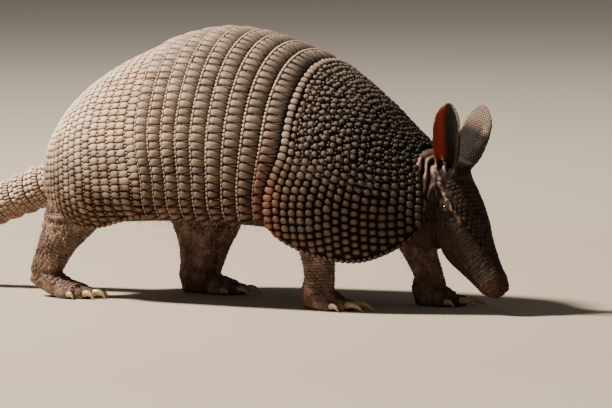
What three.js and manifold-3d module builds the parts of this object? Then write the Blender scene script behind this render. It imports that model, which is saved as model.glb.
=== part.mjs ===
// A nine-banded armadillo, life size, walking with its nose to the ground.
// Millimetres, +X towards the nose, +Y to the animal's left, +Z up, feet on z = 0.
// The body is laid out from the highest point of the back, which is x = 0 on the midline,
// and the whole animal is then moved by ORIGIN so that its box is centred on the axis.
import * as THREE from "three";
import { mergeVertices } from "three/addons/utils/BufferGeometryUtils.js";
import Module from "manifold-3d";

const wasm = await Module();
wasm.setup();

// ---------------------------------------------------------------- driving dimensions

const ORIGIN = [100.6, 0]; // from the highest point of the back to the part's own origin
const GAP = 0.3; // between pieces that touch
const PLATE_GAP = 0.6; // between neighbouring plates of the shell
const PLATE = 3; // thickness of the shell's plates
const FLESH = 4.3; // depth of the trunk's skin below the outside of the shell

// The shell and the trunk, section by section:
// x, top, height of the widest place, bottom of the shell's curve, belly, half width.
const BODY = [
  [-160, 149, 96, 46, 55, 66],
  [-125, 165, 96, 44, 53, 72],
  [-98, 174, 96, 44, 52, 76],
  [-61, 189, 96, 50, 54, 78],
  [-34, 199, 96, 52, 55, 79],
  [-2, 204, 95, 52, 55, 79],
  [33, 199, 93, 50, 54, 78],
  [61, 190, 90, 42, 52, 77],
  [92, 177, 84, 26, 50, 73],
  [122, 156, 79, 20, 50, 63],
  [144, 137.5, 77, 20, 50, 53],
  [165, 121, 76, 26, 52, 43],
  [188, 101, 75, 40, 54, 36],
];
const RUMP_END = -158; // the hindmost point of the rump's curve
const RUMP_START = -76; // where the rump begins to round off
const RUMP_HEIGHT = 89; // height of the hindmost point
const RUMP_POWER = 2.1;
const UPPER_POWER = 2.15; // 2 is an ellipse, more is squarer
const LOWER_POWER = 3;
const TAIL_HOLE = -154.6; // the pelvic shield stops here, round the root of the tail
const TRUNK_END = -153; // the trunk's hind section, before its skin is set in
const CHEST_END = 158; // the trunk's front face, inside the collar

// The bands: the hind rim of the scapular shield is rim 0, and of the last band rim 9.
const BANDS = 9;
const RIM_TOP = { first: 81, step: 15.6, close: 0.18 };
const RIM_SIDE = { first: 81, step: 16, close: 0.3 };
const RIM_LOW = { first: 74.6, step: 13.6, close: 0.2, shield: 69 };
const SIDE_ANGLE = 62; // degrees from the top of the back to the shoulder of a section
const LOW_ANGLE = 97; // and to the flank
const RIM_RISE = 1.3; // each rim stands proud of the plate behind it
const AROUND = 16; // facets from one lower edge of the shell over the back to the other
const TRUNK_SIDES = 22;
const SHADOW = 30; // how far outside the shell its shadow reaches
const CUTTER = [2000, 2000, 400]; // a slab wider than the animal
const COLLAR = { top: 165, side: 181, angle: 80 }; // front edge of the scapular shield
// Height of the shell's lower edge along the body.
const SKIRT = [
  [-156, 80],
  [-148, 70],
  [-135, 61],
  [-115, 55],
  [-85, 54],
  [-60, 60],
  [-40, 64],
  [40, 65],
  [60, 66],
  [67, 66],
  [76, 54],
  [92, 44],
  [112, 37.5],
  [134, 36],
  [152, 41.5],
  [168, 51],
  [178, 61],
  [183, 68],
];

// The head hangs from NECK_PIVOT, turned by HEAD_YAW to the animal's right.
// Its stations: step, forward, height, half width, depth to the forehead, depth to the chin.
const NECK_PIVOT = [160, 0];
const HEAD_YAW = -12;
const HEAD = [
  [0, 23, 107, 11.5, 10, 12],
  [1, 27, 92, 18, 16, 18],
  [2, 33.7, 78.3, 19.5, 17.5, 22],
  [3, 39.8, 65.5, 19, 18, 24],
  [4, 46, 52.5, 16.5, 17.5, 23.5],
  [5, 54.8, 40.5, 13.5, 14.5, 18.5],
  [6, 63.8, 29.6, 11, 11.6, 14.5],
  [7, 71.5, 21.5, 9.5, 10.2, 12],
  [7.7, 76.9, 16, 7.8, 8, 8.6],
];
const HEAD_POWER = 2.2;
const HEAD_PLATE = { from: 0.6, to: 5.1, half: 62, depth: 1.3 }; // shield on the forehead
const HEAD_CORE = HEAD_PLATE.depth + GAP; // flesh under the forehead's shield, with its gap
const NOSE_CUT = 7.15; // station where the bare nose pad begins
const JAW = { from: 3.9, to: 7.05, hinge: 13, chin: 4 }; // lower jaw, and its depth below the axis
const EYE = { station: 2.2, angle: -12, radius: 3.5, sunk: 1.5 };
const EAR = { length: 48, wall: 1.5, lip: 0.012 };
const EARS = {
  ear_right: { base: [34, -6.5, 109], lean: [0.175, -0.24, 0.955], opening: [0.2, -1, 0] },
  ear_left: { base: [30.5, 4.5, 108.5], lean: [0.24, 0.36, 0.9], opening: [0.2, 1, 0] },
};
// Outline of an ear from root to tip: share of its length, half width, depth of the cup.
const EAR_SHAPE = [
  [0, 6.5, 6.5],
  [0.2, 8.8, 7],
  [0.5, 11.4, 6],
  [0.75, 11, 4.3],
  [0.9, 7.8, 2.4],
  [1, 2.8, 0.6],
];

// Tubes of flesh: step, x, y, z, half width, depth to the front or top, depth behind or below.
const NECK = [
  [0, 134, 0, 87, 33, 30, 32],
  [1, 152, 0, 87, 33, 29, 32],
  [2, 171, -1, 87, 31, 31, 33],
  [3, 183, -4, 84, 26, 20, 42],
  [4, 190, -8, 72, 14, 13, 33],
];
// The tail's first number is the distance along it.
const TAIL = [
  [0, -152, 0, 87, 15.6, 15.8, 15.6],
  [28, -178, 0, 77.5, 14.8, 15, 14.8],
  [58, -206, 0, 66.5, 13.4, 13.6, 13.4],
  [108, -252, -1, 46, 11.2, 11.2, 11.2],
  [162, -302, -5, 24, 9, 9, 9],
  [214, -351, -14, 8.6, 6.8, 6.8, 6.8],
  [266, -401, -27, 4.4, 4.8, 4.8, 4.8],
  [308, -440, -40, 2.2, 2.6, 2.6, 2.6],
];
const TAIL_RINGS = 11;
const RING_LENGTH = 14.5;
const RING_GAP = 0.6; // between neighbouring rings of the tail
const RING_FLARE = 0.8; // each ring is this much fuller at its hind rim

const LEGS = {
  fore_right: [
    [0, 88, -37, 74, 15, 17, 15],
    [1, 91.5, -36.5, 48, 12.5, 14.5, 13.5],
    [2, 93, -36, 31, 10.5, 12, 11],
    [3, 93.5, -36, 12, 10, 11, 10],
  ],
  fore_left: [
    [0, 126, 33, 74, 14, 16, 15],
    [1, 136, 34, 47, 11.5, 13.5, 13],
    [2, 143, 35, 30, 10, 11.5, 10.5],
    [3, 150, 35, 12, 9.6, 10.5, 9.6],
  ],
  hind_right: [
    [0, -108, -36, 84, 17, 28, 28],
    [1, -120, -38, 62, 17, 21, 22],
    [2, -130.5, -41, 42, 13.5, 14, 14.5],
    [3, -141, -42, 21, 10.5, 11.5, 11],
  ],
  hind_left: [
    [0, -50, 36, 84, 17, 36, 33],
    [1, -49, 37.5, 60, 17, 32, 31],
    [2, -52, 40, 38, 14, 22, 20],
    [3, -56, 41, 15, 11.5, 16, 14.5],
  ],
};

// A foot, from its ankle: sole stations (step, forward, height, half width, up, down), toes
// (forward, side, turn in degrees, length, radius, claw length), and where it stands.
const FORE_SOLE = [
  [0, -11, 7, 6.5, 6, 7],
  [1, -4, 8, 11, 8, 8],
  [2, 7, 7, 12.5, 7.5, 7],
  [3, 16, 5.2, 11.5, 5.6, 5.2],
];
const FORE_TOES = [
  [10, 9.5, 20, 10, 3.6, 9],
  [13, 3.6, 5, 14, 4.2, 16],
  [13, -3.6, -5, 13, 4.2, 15],
  [9, -9.5, -20, 9, 3.6, 9],
];
const HIND_SOLE = [
  [0, -12, 7, 6, 6, 7],
  [1, -3, 8.5, 9.5, 8.5, 8.5],
  [2, 14, 7, 12.5, 7.5, 7],
  [3, 29, 5, 12.5, 5.4, 5],
];
const HIND_TOES = [
  [20, 11, 22, 9, 3.5, 7],
  [26, 6.3, 9, 11.5, 4, 10],
  [28, 0, 0, 12.5, 4.2, 11],
  [26, -6.3, -9, 11.5, 4, 10],
  [19, -11, -22, 8.5, 3.5, 7],
];
const PRESS = 1.1; // soles and toes would reach this far under the floor, so they lie flat on it
const CLAW_GAP = 0.9; // from the end of a toe to the root of its claw
const FOOT_BEND = 25; // a raised heel comes down over this length
const FEET = {
  fore_right: { at: [93.5, -36], turn: -3, ankle: 17, raise: 0, sole: FORE_SOLE, toes: FORE_TOES },
  fore_left: { at: [148, 35], turn: 3, ankle: 17, raise: 0, sole: FORE_SOLE, toes: FORE_TOES },
  hind_right: { at: [-139, -42], turn: -2, ankle: 27, raise: 11, sole: HIND_SOLE, toes: HIND_TOES },
  hind_left: { at: [-57, 41], turn: 4, ankle: 21, raise: 0, sole: HIND_SOLE, toes: HIND_TOES },
};

// ---------------------------------------------------------------- colours

const finish = (color, roughness) =>
  new THREE.MeshStandardMaterial({ color, roughness, metalness: 0 });
const FINISH = {
  shell: finish(0x8a7a68, 0.55),
  rump: finish(0xb9a68f, 0.6),
  tail: finish(0xcdb8a2, 0.6),
  skin: finish(0x8f6f62, 0.75),
  leg: finish(0x96796a, 0.7),
  ear: finish(0x6d4a40, 0.7),
  nose: finish(0x8a5f58, 0.5),
  claw: finish(0xc9b48f, 0.4),
  eye: finish(0x0c0907, 0.1),
};

// ---------------------------------------------------------------- curves and solids

const WELD = 1e-4; // points closer than this are one
const NEARBY = 0.01; // along a curve, for its direction
const rad = THREE.MathUtils.degToRad;
const vector = (x, y, z) => new THREE.Vector3(x, y, z);
const UPRIGHT = [vector(1, 0, 0), vector(0, 1, 0), vector(0, 0, 1)];
const range = (count) => Array.from({ length: count }, (_, i) => i);
const clamp01 = (t) => Math.min(1, Math.max(0, t));
const ease = (t) => clamp01(t) ** 2 * (3 - 2 * clamp01(t));

// A smooth curve through rows whose first number is the place along it.
function along(rows, t) {
  const last = rows.length - 1;
  const place = Math.min(Math.max(t, rows[0][0]), rows[last][0]);
  let i = 0;
  while (i < last - 1 && rows[i + 1][0] <= place) i += 1;
  const slope = (k, c) => {
    const a = rows[Math.max(k - 1, 0)];
    const b = rows[Math.min(k + 1, last)];
    return (b[c] - a[c]) / (b[0] - a[0]);
  };
  const span = rows[i + 1][0] - rows[i][0];
  const u = (place - rows[i][0]) / span;
  return rows[i].slice(1).map((value, column) => {
    const c = column + 1;
    const start = (2 * u ** 3 - 3 * u ** 2 + 1) * value + (u ** 3 - 2 * u ** 2 + u) * span * slope(i, c);
    const end = (3 * u ** 2 - 2 * u ** 3) * rows[i + 1][c] + (u ** 3 - u ** 2) * span * slope(i + 1, c);
    return start + end;
  });
}

// A geometry as a solid; a piece drawn inside out is turned round.
function solidOf(geometry) {
  const bare = mergeVertices(geometry, WELD);
  const triVerts = new Uint32Array(bare.index.array);
  const build = () =>
    new wasm.Manifold(
      new wasm.Mesh({ numProp: 3, vertProperties: bare.attributes.position.array, triVerts }),
    );
  const solid = build();
  if (solid.volume() >= 0) return solid;
  for (let i = 0; i < triVerts.length; i += 3) {
    [triVerts[i + 1], triVerts[i + 2]] = [triVerts[i + 2], triVerts[i + 1]];
  }
  return build();
}

// Points and triangles as a geometry.
function geometryOf(points, faces) {
  const geometry = new THREE.BufferGeometry().setFromPoints(points);
  geometry.setIndex(faces.flat());
  return geometry;
}

// Rings of points joined one to the next, with both ends closed on their middle.
function loft(rings) {
  const size = rings[0].length;
  const points = rings.flat();
  const faces = [];
  for (let r = 0; r < rings.length - 1; r += 1) {
    for (let k = 0; k < size; k += 1) {
      const a = r * size + k;
      const b = r * size + ((k + 1) % size);
      faces.push([a, b, b + size], [a, b + size, a + size]);
    }
  }
  [rings[0], rings[rings.length - 1]].forEach((ring, end) => {
    const middle = ring.reduce((sum, p) => sum.add(p), vector(0, 0, 0)).divideScalar(size);
    const hub = points.push(middle) - 1;
    const first = end * (rings.length - 1) * size;
    for (let k = 0; k < size; k += 1) {
      const pair = [first + k, first + ((k + 1) % size)];
      faces.push(end ? [pair[0], pair[1], hub] : [pair[1], pair[0], hub]);
    }
  });
  return solidOf(geometryOf(points, faces));
}

// A curved plate: place(u, v, side) gives its outside (0) and inside (1), closed round the rim.
function plate(across, around, place) {
  const row = around + 1;
  const layer = (across + 1) * row;
  const points = [];
  for (const side of [0, 1]) {
    for (const i of range(across + 1)) {
      for (const j of range(row)) points.push(place(i / across, j / around, side));
    }
  }
  const faces = [];
  const quad = (a, b, c, d) => faces.push([a, b, c], [a, c, d]);
  for (const i of range(across)) {
    for (const j of range(around)) {
      const a = i * row + j;
      quad(a, a + 1, a + row + 1, a + row);
      quad(layer + a + row, layer + a + row + 1, layer + a + 1, layer + a);
    }
  }
  const rim = [
    ...range(around).map((j) => j),
    ...range(across).map((i) => i * row + around),
    ...range(around).map((j) => across * row + around - j),
    ...range(across).map((i) => (across - i) * row),
  ];
  rim.forEach((a, k) => {
    const b = rim[(k + 1) % rim.length];
    quad(b, a, layer + a, layer + b);
  });
  return solidOf(geometryOf(points, faces));
}

// One ring of a tube: a rounded section across the line that runs through the stations.
function ringOf(centre, forward, halfWidth, up, down, sides, power) {
  const side = vector(0, 1, 0).addScaledVector(forward, -forward.y).normalize();
  const over = forward.clone().cross(side);
  return range(sides).map((k) => {
    const turn = (2 * Math.PI * (k + 0.5)) / sides;
    const c = Math.cos(turn);
    const s = Math.sin(turn);
    const a = Math.sign(c) * Math.abs(c) ** (2 / power) * halfWidth;
    const b = Math.sign(s) * Math.abs(s) ** (2 / power) * (s > 0 ? up : down);
    return centre.clone().addScaledVector(side, a).addScaledVector(over, b);
  });
}

// A tube of flesh through stations, thicker all round by grow, and pressed flat at the floor.
function tube(rows, from, to, steps, sides, { grow = 0, power = 2.2, turned = (p) => p } = {}) {
  const rings = range(steps + 1).map((k) => {
    const t = from + ((to - from) * k) / steps;
    const [x, y, z, halfWidth, up, down] = along(rows, t);
    const near = along(rows, t - NEARBY);
    const far = along(rows, t + NEARBY);
    const forward = vector(far[0] - near[0], far[1] - near[1], far[2] - near[2]).normalize();
    const ring = ringOf(vector(x, y, z), forward, halfWidth + grow, up + grow, down + grow, sides, power);
    return ring.map((p) => turned(vector(p.x, p.y, Math.max(p.z, 0))));
  });
  return loft(rings);
}

// A box with its own axes, as a cutter.
function block(centre, axes, size) {
  const geometry = new THREE.BoxGeometry(...size);
  geometry.deleteAttribute("normal");
  geometry.deleteAttribute("uv");
  geometry.applyMatrix4(new THREE.Matrix4().makeBasis(...axes).setPosition(centre));
  return solidOf(geometry);
}

function meshOf(name, solid, material) {
  const { numProp, vertProperties, triVerts } = solid.getMesh();
  const points = range(vertProperties.length / numProp).map((i) =>
    vector(vertProperties[i * numProp], vertProperties[i * numProp + 1], vertProperties[i * numProp + 2]),
  );
  const geometry = new THREE.BufferGeometry().setFromPoints(points);
  geometry.setIndex([...triVerts]);
  geometry.computeVertexNormals();
  const mesh = new THREE.Mesh(geometry, material);
  mesh.name = name;
  return mesh;
}

// ---------------------------------------------------------------- the body's surface

// A point of the body at x, at an angle down from the top (positive to the left).
function bodyPoint(x, degrees, belly = false) {
  const [top, middle, skirt, under, half] = along(BODY, x);
  const t = x < RUMP_START ? Math.min(1, (RUMP_START - x) / (RUMP_START - RUMP_END)) : 0;
  const round = (1 - t ** RUMP_POWER) ** (1 / RUMP_POWER);
  const height = (z) => RUMP_HEIGHT + (z - RUMP_HEIGHT) * round;
  const s = Math.sin(rad(degrees));
  const c = Math.cos(rad(degrees));
  const power = c > 0 ? UPPER_POWER : LOWER_POWER;
  const centre = height(middle);
  const reach = c > 0 ? height(top) - centre : centre - height(belly ? under : skirt);
  const sum = (Math.abs(s) / (half * round)) ** power + (Math.abs(c) / reach) ** power;
  const radius = 1 / sum ** (1 / power);
  return vector(x, radius * s, centre + radius * c);
}

// The same point moved in along the surface's normal.
function bodyInside(x, degrees, depth, belly = false) {
  const step = 0.4;
  const lengthwise = bodyPoint(x + step, degrees, belly).sub(bodyPoint(x - step, degrees, belly));
  const around = bodyPoint(x, degrees + step, belly).sub(bodyPoint(x, degrees - step, belly));
  const inward = lengthwise.cross(around).normalize();
  return bodyPoint(x, degrees, belly).addScaledVector(inward, -depth);
}

// x of a rim, at an angle down from the top.
function rimAt(rim, degrees) {
  const a = Math.abs(degrees);
  const place = ({ first, step, close }) => first - step * rim + close * rim * (rim - 1);
  const low = rim === 0 ? RIM_LOW.shield : place(RIM_LOW);
  const side = place(RIM_SIDE);
  if (a < SIDE_ANGLE) return place(RIM_TOP) + (side - place(RIM_TOP)) * ease(a / SIDE_ANGLE);
  return side + (low - side) * ease((a - SIDE_ANGLE) / (LOW_ANGLE - SIDE_ANGLE));
}

// The angle at which the shell's lower edge lies at x.
function skirtAngle(x) {
  const [edge] = along(SKIRT, x);
  let low = 80;
  let high = 170;
  for (let halving = 0; halving < 30; halving += 1) {
    const mid = (low + high) / 2;
    if (bodyPoint(x, mid).z > edge) low = mid;
    else high = mid;
  }
  return (low + high) / 2;
}

// A piece of the shell between two edges, each an x for an angle; rise lifts its outside.
function shellPlate(rear, front, across, rise, { share = (u) => u, depth = PLATE, spare = 0 } = {}) {
  return plate(across, AROUND, (u, v, side) => {
    const between = (degrees) => {
      const start = rear(degrees) - spare;
      return start + (front(degrees) + spare - start) * share(u);
    };
    let x = between(0);
    let degrees = 0;
    for (let pass = 0; pass < 6; pass += 1) {
      degrees = (2 * v - 1) * (skirtAngle(x) + spare);
      x = between(degrees);
    }
    return bodyInside(x, degrees, side ? depth : -rise(u));
  });
}

const collarAt = (degrees) =>
  COLLAR.top + (COLLAR.side - COLLAR.top) * ease(Math.abs(degrees) / COLLAR.angle);
// A rim is full at the back of its plate and dips at the front, under the next.
const bandRise = (u) => RIM_RISE * (1 - u) ** 0.7 - 0.4 * u;
const shieldRise = (u) => RIM_RISE * clamp01(1 - 6 * u);
// The rump curves in, so its rows lie closer together towards the tail.
const rumpShare = (u) => u ** 1.6;

const SHIELDS = {
  scapular_shield: { rear: (a) => rimAt(0, a), front: collarAt, across: 8, rise: shieldRise },
  pelvic_shield: {
    rear: () => TAIL_HOLE,
    front: (a) => rimAt(BANDS, a) - PLATE_GAP,
    across: 9,
    rise: () => 0,
    share: rumpShare,
  },
};

function shield(name) {
  const { rear, front, across, rise, share } = SHIELDS[name];
  return shellPlate(rear, front, across, rise, { share });
}

// All that lies outside a shield's inner face, which a leg under it keeps out of.
function shadowOf(name) {
  const { rear, front, across, share } = SHIELDS[name];
  return shellPlate(rear, front, across, () => SHADOW, { share, depth: PLATE + GAP, spare: 1 });
}

function band(number) {
  const rear = (a) => rimAt(number, a);
  const front = (a) => rimAt(number - 1, a) - PLATE_GAP;
  return shellPlate(rear, front, 2, bandRise);
}

// The trunk is one solid of flesh under the whole shell.
function trunk(grow = 0) {
  const inside = TRUNK_END - grow;
  const round = (k) => Math.sin((Math.PI / 2) * (1 - k / 6));
  const rump = range(7).map((k) => RUMP_START + (inside - RUMP_START) * round(k));
  const front = range(9).map((k) => RUMP_START + ((CHEST_END + grow - RUMP_START) * (k + 1)) / 9);
  const rings = [...rump, ...front].map((x) =>
    range(TRUNK_SIDES).map((k) => {
      const degrees = (360 * (k + 0.5)) / TRUNK_SIDES;
      const turn = degrees > 180 ? degrees - 360 : degrees;
      return bodyInside(x, turn, FLESH - grow, true);
    }),
  );
  return loft(rings);
}

// ---------------------------------------------------------------- the head

const headTurn = (p) =>
  p.clone().applyAxisAngle(vector(0, 0, 1), rad(HEAD_YAW)).add(vector(...NECK_PIVOT, 0));

// A station of the head: where it is, which way it runs, and its forehead side.
function headStation(t) {
  const [x, z, half, fore, chin] = along(HEAD, t);
  const near = along(HEAD, t - NEARBY);
  const far = along(HEAD, t + NEARBY);
  const forward = vector(far[0] - near[0], 0, far[1] - near[1]).normalize();
  const over = forward.clone().cross(vector(0, 1, 0));
  return { centre: vector(x, 0, z), forward, over, half, fore, chin };
}

// A point on the head: station, angle up from its left side, and how far inside the surface.
function headPoint(t, degrees, depth) {
  const { centre, over, half, fore, chin } = headStation(t);
  const c = Math.cos(rad(degrees));
  const s = Math.sin(rad(degrees));
  const a = Math.sign(c) * Math.abs(c) ** (2 / HEAD_POWER) * (half - depth);
  const b = Math.sign(s) * Math.abs(s) ** (2 / HEAD_POWER) * ((s > 0 ? fore : chin) - depth);
  return headTurn(centre.clone().add(vector(0, a, 0)).addScaledVector(over, b));
}

function headLoft(depth) {
  const [first] = HEAD[0];
  const [last] = HEAD[HEAD.length - 1];
  const steps = 12;
  const sides = 14;
  return loft(
    range(steps + 1).map((k) =>
      range(sides).map((j) => {
        const station = first + ((last - first) * k) / steps;
        return headPoint(station, (360 * (j + 0.5)) / sides, depth);
      }),
    ),
  );
}

function headShield(grow = 0) {
  const { from, to, half, depth } = HEAD_PLATE;
  return plate(6, 6, (u, v, side) => {
    const t = from + (to - from) * u;
    const spread = half * (1 - 0.5 * u ** 2) + 2 * grow;
    return headPoint(t, 90 + (2 * v - 1) * spread, side ? depth + grow : -grow);
  });
}

// Cutters in the head's own plane: the lower jaw and the nose pad, with a gap when grown.
function jawBlock(grow) {
  const a = headStation(JAW.from);
  const b = headStation(JAW.to);
  const rear = a.centre.clone().addScaledVector(a.over, -JAW.hinge);
  const tip = b.centre.clone().addScaledVector(b.over, -JAW.chin);
  const forward = tip.clone().sub(rear);
  const length = forward.length();
  forward.normalize();
  const down = vector(0, 1, 0).cross(forward);
  const under = down.dot(a.over) < 0 ? down : down.negate();
  const depth = 40;
  const centre = rear.clone().add(tip).multiplyScalar(0.5).addScaledVector(under, depth / 2 - grow);
  const axes = [forward, vector(0, 1, 0), forward.clone().cross(vector(0, 1, 0))];
  return placedBlock(centre, axes, [length + 2 * grow, 60, depth]);
}

function noseBlock(grow) {
  const { centre, forward, over } = headStation(NOSE_CUT);
  const depth = 30;
  const middle = centre.clone().addScaledVector(forward, depth / 2 - grow);
  return placedBlock(middle, [forward, vector(0, 1, 0), over.clone().negate()], [depth, 60, 60]);
}

function placedBlock(centre, axes, size) {
  const turned = axes.map((axis) => axis.clone().applyAxisAngle(vector(0, 0, 1), rad(HEAD_YAW)));
  return block(headTurn(centre), turned, size);
}

function eyeCentre(side) {
  const degrees = side > 0 ? -EYE.angle : 180 + EYE.angle;
  return headPoint(EYE.station, degrees, EYE.sunk);
}

function ball(centre, radius, wide, high) {
  const geometry = new THREE.SphereGeometry(radius, wide, high);
  geometry.deleteAttribute("normal");
  geometry.deleteAttribute("uv");
  geometry.translate(centre.x, centre.y, centre.z);
  return solidOf(geometry);
}

// The neck comes out of the collar and runs into the back of the head and the throat.
function neck() {
  const whole = tube(NECK, 0, 4, 4, 10).subtract(shadowOf("scapular_shield"));
  return whole.subtract(trunk(GAP)).subtract(headLoft(HEAD_CORE)).subtract(headShield(GAP));
}

// An ear is a cupped leaf, rolled into a tube at its root.
function ear(name) {
  const base = vector(...EARS[name].base);
  const lean = vector(...EARS[name].lean).normalize();
  const opening = vector(...EARS[name].opening);
  opening.addScaledVector(lean, -opening.dot(lean)).normalize();
  const across = lean.clone().cross(opening);
  return plate(7, 6, (u, v, wall) => {
    const [half, cup] = along(EAR_SHAPE, u);
    const turn = (2 * v - 1) * (Math.PI / 2);
    const inner = 1 - (wall * EAR.wall) / half;
    const floor = wall * EAR.wall;
    const p = base
      .clone()
      .addScaledVector(lean, EAR.length * (wall && u === 1 ? 1 - EAR.lip : u))
      .addScaledVector(across, half * inner * Math.sin(turn))
      .addScaledVector(opening, floor + (cup - floor) * (1 - Math.cos(turn)));
    return headTurn(p);
  });
}

// ---------------------------------------------------------------- tail, legs and feet

// One ring of the tail, a little fuller at its hind rim.
function tailRing(number) {
  const start = number * RING_LENGTH;
  const end = start + RING_LENGTH - RING_GAP;
  const rows = [0, 1].map((k) => {
    const [x, y, z, ...depths] = along(TAIL, k ? end : start);
    return [k, x, y, z, ...depths.map((d) => d + k * RING_FLARE)];
  });
  return tube(rows, 0, 1, 1, 12, { power: 2 });
}

function tailTip() {
  return tube(TAIL, TAIL_RINGS * RING_LENGTH, TAIL[TAIL.length - 1][0], 5, 10, { power: 2 });
}

const slab = (height, end) => block(vector(0, 0, height + (end * CUTTER[2]) / 2), UPRIGHT, CUTTER);
const limb = (name) => tube(LEGS[name], 0, 3, 6, 10);
const leg = (name) => limb(name).intersect(slab(FEET[name].ankle, 1));

// A foot is the end of the limb with the sole and toes, as one solid.
function footSolid(name) {
  const { at, turn, sole, toes, ankle, raise } = FEET[name];
  const heel = sole[0][1];
  const lift = (forward) => raise * clamp01(1 - (forward - heel) / FOOT_BEND) ** 1.2;
  const rows = sole.map(([t, x, z, half, up, down]) => [t, x, 0, z + lift(x), half, up, down + PRESS]);
  let foot = tube(rows, 0, 3, 4, 8, { power: 2.6 });
  for (const [x, y, toeTurn, length, radius] of toes) {
    foot = foot.add(tube(toeRows(x, y, toeTurn, length, radius), 0, 2, 2, 5, { power: 2 }));
  }
  return foot
    .rotate([0, 0, turn])
    .translate([...at, 0])
    .add(limb(name))
    .intersect(slab(ankle - GAP, -1));
}

function toeRows(x, y, turn, length, radius) {
  const at = (share) => [x + length * share * Math.cos(rad(turn)), y + length * share * Math.sin(rad(turn))];
  return [
    [0, ...at(-0.4), radius, radius, radius, radius + PRESS],
    [1, ...at(0.5), radius * 0.95, radius * 0.95, radius * 1.1, radius + PRESS],
    [2, ...at(1), radius * 0.9, radius * 0.62, radius * 0.8, radius * 0.8 + PRESS],
  ];
}

// A claw is a cone bent down to the ground, drawn from the toe's end along +X.
function clawSolid(length, radius) {
  const rows = [
    [0, 0, radius * 1.05, radius * 0.62, radius * 0.75, radius * 0.6],
    [1, length * 0.5, radius * 1.05, radius * 0.5, radius * 0.6, radius * 0.45],
    [2, length, 0.75, 0.35, 0.35, 0.35],
  ].map(([t, x, z, ...depths]) => [t, x, 0, z, ...depths]);
  return tube(rows, 0, 2, 2, 5, { power: 2 });
}

// ---------------------------------------------------------------- the animal

const animal = new THREE.Group();
const put = (name, solid, material, group = animal) => group.add(meshOf(name, solid, material));

put("trunk", trunk(), FINISH.skin);
put("scapular_shield", shield("scapular_shield"), FINISH.shell);
put("pelvic_shield", shield("pelvic_shield"), FINISH.rump);
for (const k of range(BANDS)) put(`band_${k + 1}`, band(k + 1), FINISH.shell);

let head = headLoft(HEAD_CORE + GAP);
for (const [name, side] of [["eye_right", -1], ["eye_left", 1]]) {
  put(name, ball(eyeCentre(side), EYE.radius, 8, 5), FINISH.eye);
  head = head.subtract(ball(eyeCentre(side), EYE.radius + GAP, 8, 5));
}
put("lower_jaw", head.intersect(jawBlock(0)), FINISH.skin);
put("nose", head.intersect(noseBlock(0)), FINISH.nose);
put("head", head.subtract(jawBlock(GAP)).subtract(noseBlock(GAP)), FINISH.skin);
put("head_shield", headShield(), FINISH.shell);
for (const name of Object.keys(EARS)) {
  put(name, ear(name).subtract(headLoft(HEAD_CORE)).subtract(headShield(GAP)), FINISH.ear);
}
put("neck", neck(), FINISH.skin);

for (const k of range(TAIL_RINGS)) {
  const ring = tailRing(k);
  put(`tail_ring_${k + 1}`, k === 0 ? ring.subtract(trunk(GAP)) : ring, FINISH.tail);
}
put("tail_tip", tailTip(), FINISH.tail);

for (const [name, foot] of Object.entries(FEET)) {
  const cover = shadowOf(name.startsWith("fore") ? "scapular_shield" : "pelvic_shield");
  put(`leg_${name}`, leg(name).subtract(trunk(GAP)).subtract(cover), FINISH.leg);
  put(`foot_${name}`, footSolid(name), FINISH.leg);
  const group = new THREE.Group();
  group.position.set(foot.at[0], foot.at[1], 0);
  group.rotation.z = rad(foot.turn);
  foot.toes.forEach(([x, y, turn, length, radius, claw], k) => {
    const reach = length + CLAW_GAP;
    const toe = new THREE.Group();
    toe.position.set(x + reach * Math.cos(rad(turn)), y + reach * Math.sin(rad(turn)), 0);
    toe.rotation.z = rad(turn);
    put(`claw_${name}_${k + 1}`, clawSolid(claw, radius), FINISH.claw, toe);
    group.add(toe);
  });
  animal.add(group);
}

animal.position.set(ORIGIN[0], ORIGIN[1], 0);
const armadillo = new THREE.Group();
armadillo.add(animal);

export default armadillo;
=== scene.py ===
"""A nine-banded armadillo, life size: the looks of the still model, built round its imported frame.

Lengths are in millimetres in the dimensions and formulas, and metres in the meshes.
"""

import math

import bmesh
import bpy
import numpy as np
from mathutils import Matrix, Vector, noise
from mathutils.bvhtree import BVHTree


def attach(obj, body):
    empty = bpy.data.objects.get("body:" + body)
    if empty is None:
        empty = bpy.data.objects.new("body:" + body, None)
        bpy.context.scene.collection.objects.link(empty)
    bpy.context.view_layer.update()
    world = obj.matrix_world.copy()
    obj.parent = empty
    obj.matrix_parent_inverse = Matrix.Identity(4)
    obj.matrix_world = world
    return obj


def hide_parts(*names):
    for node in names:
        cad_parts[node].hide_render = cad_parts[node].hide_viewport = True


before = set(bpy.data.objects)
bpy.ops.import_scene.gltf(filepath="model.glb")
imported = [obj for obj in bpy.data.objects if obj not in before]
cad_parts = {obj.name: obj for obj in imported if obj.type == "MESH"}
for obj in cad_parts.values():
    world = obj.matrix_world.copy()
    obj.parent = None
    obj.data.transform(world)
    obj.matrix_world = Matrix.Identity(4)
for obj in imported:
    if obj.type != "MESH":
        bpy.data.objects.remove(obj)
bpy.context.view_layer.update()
MM = 0.001
BODY_NAME = "root"
RANDOM = np.random.default_rng(9)

# ---------------------------------------------------------------- the animal's dimensions

ORIGIN = np.array([100.6, 0.0, 0.0])  # from the highest point of the back to the model's origin
PLATE = 3.0  # thickness of the shell's plates
PLATE_GAP = 0.6  # between neighbouring plates
GROOVE_DEPTH = 1.3  # from the shell's outside down to the hide between the scutes
FLESH = 4.3  # depth of the trunk's skin below the outside of the shell
GROUND = 0.05  # nothing goes lower than this

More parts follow.
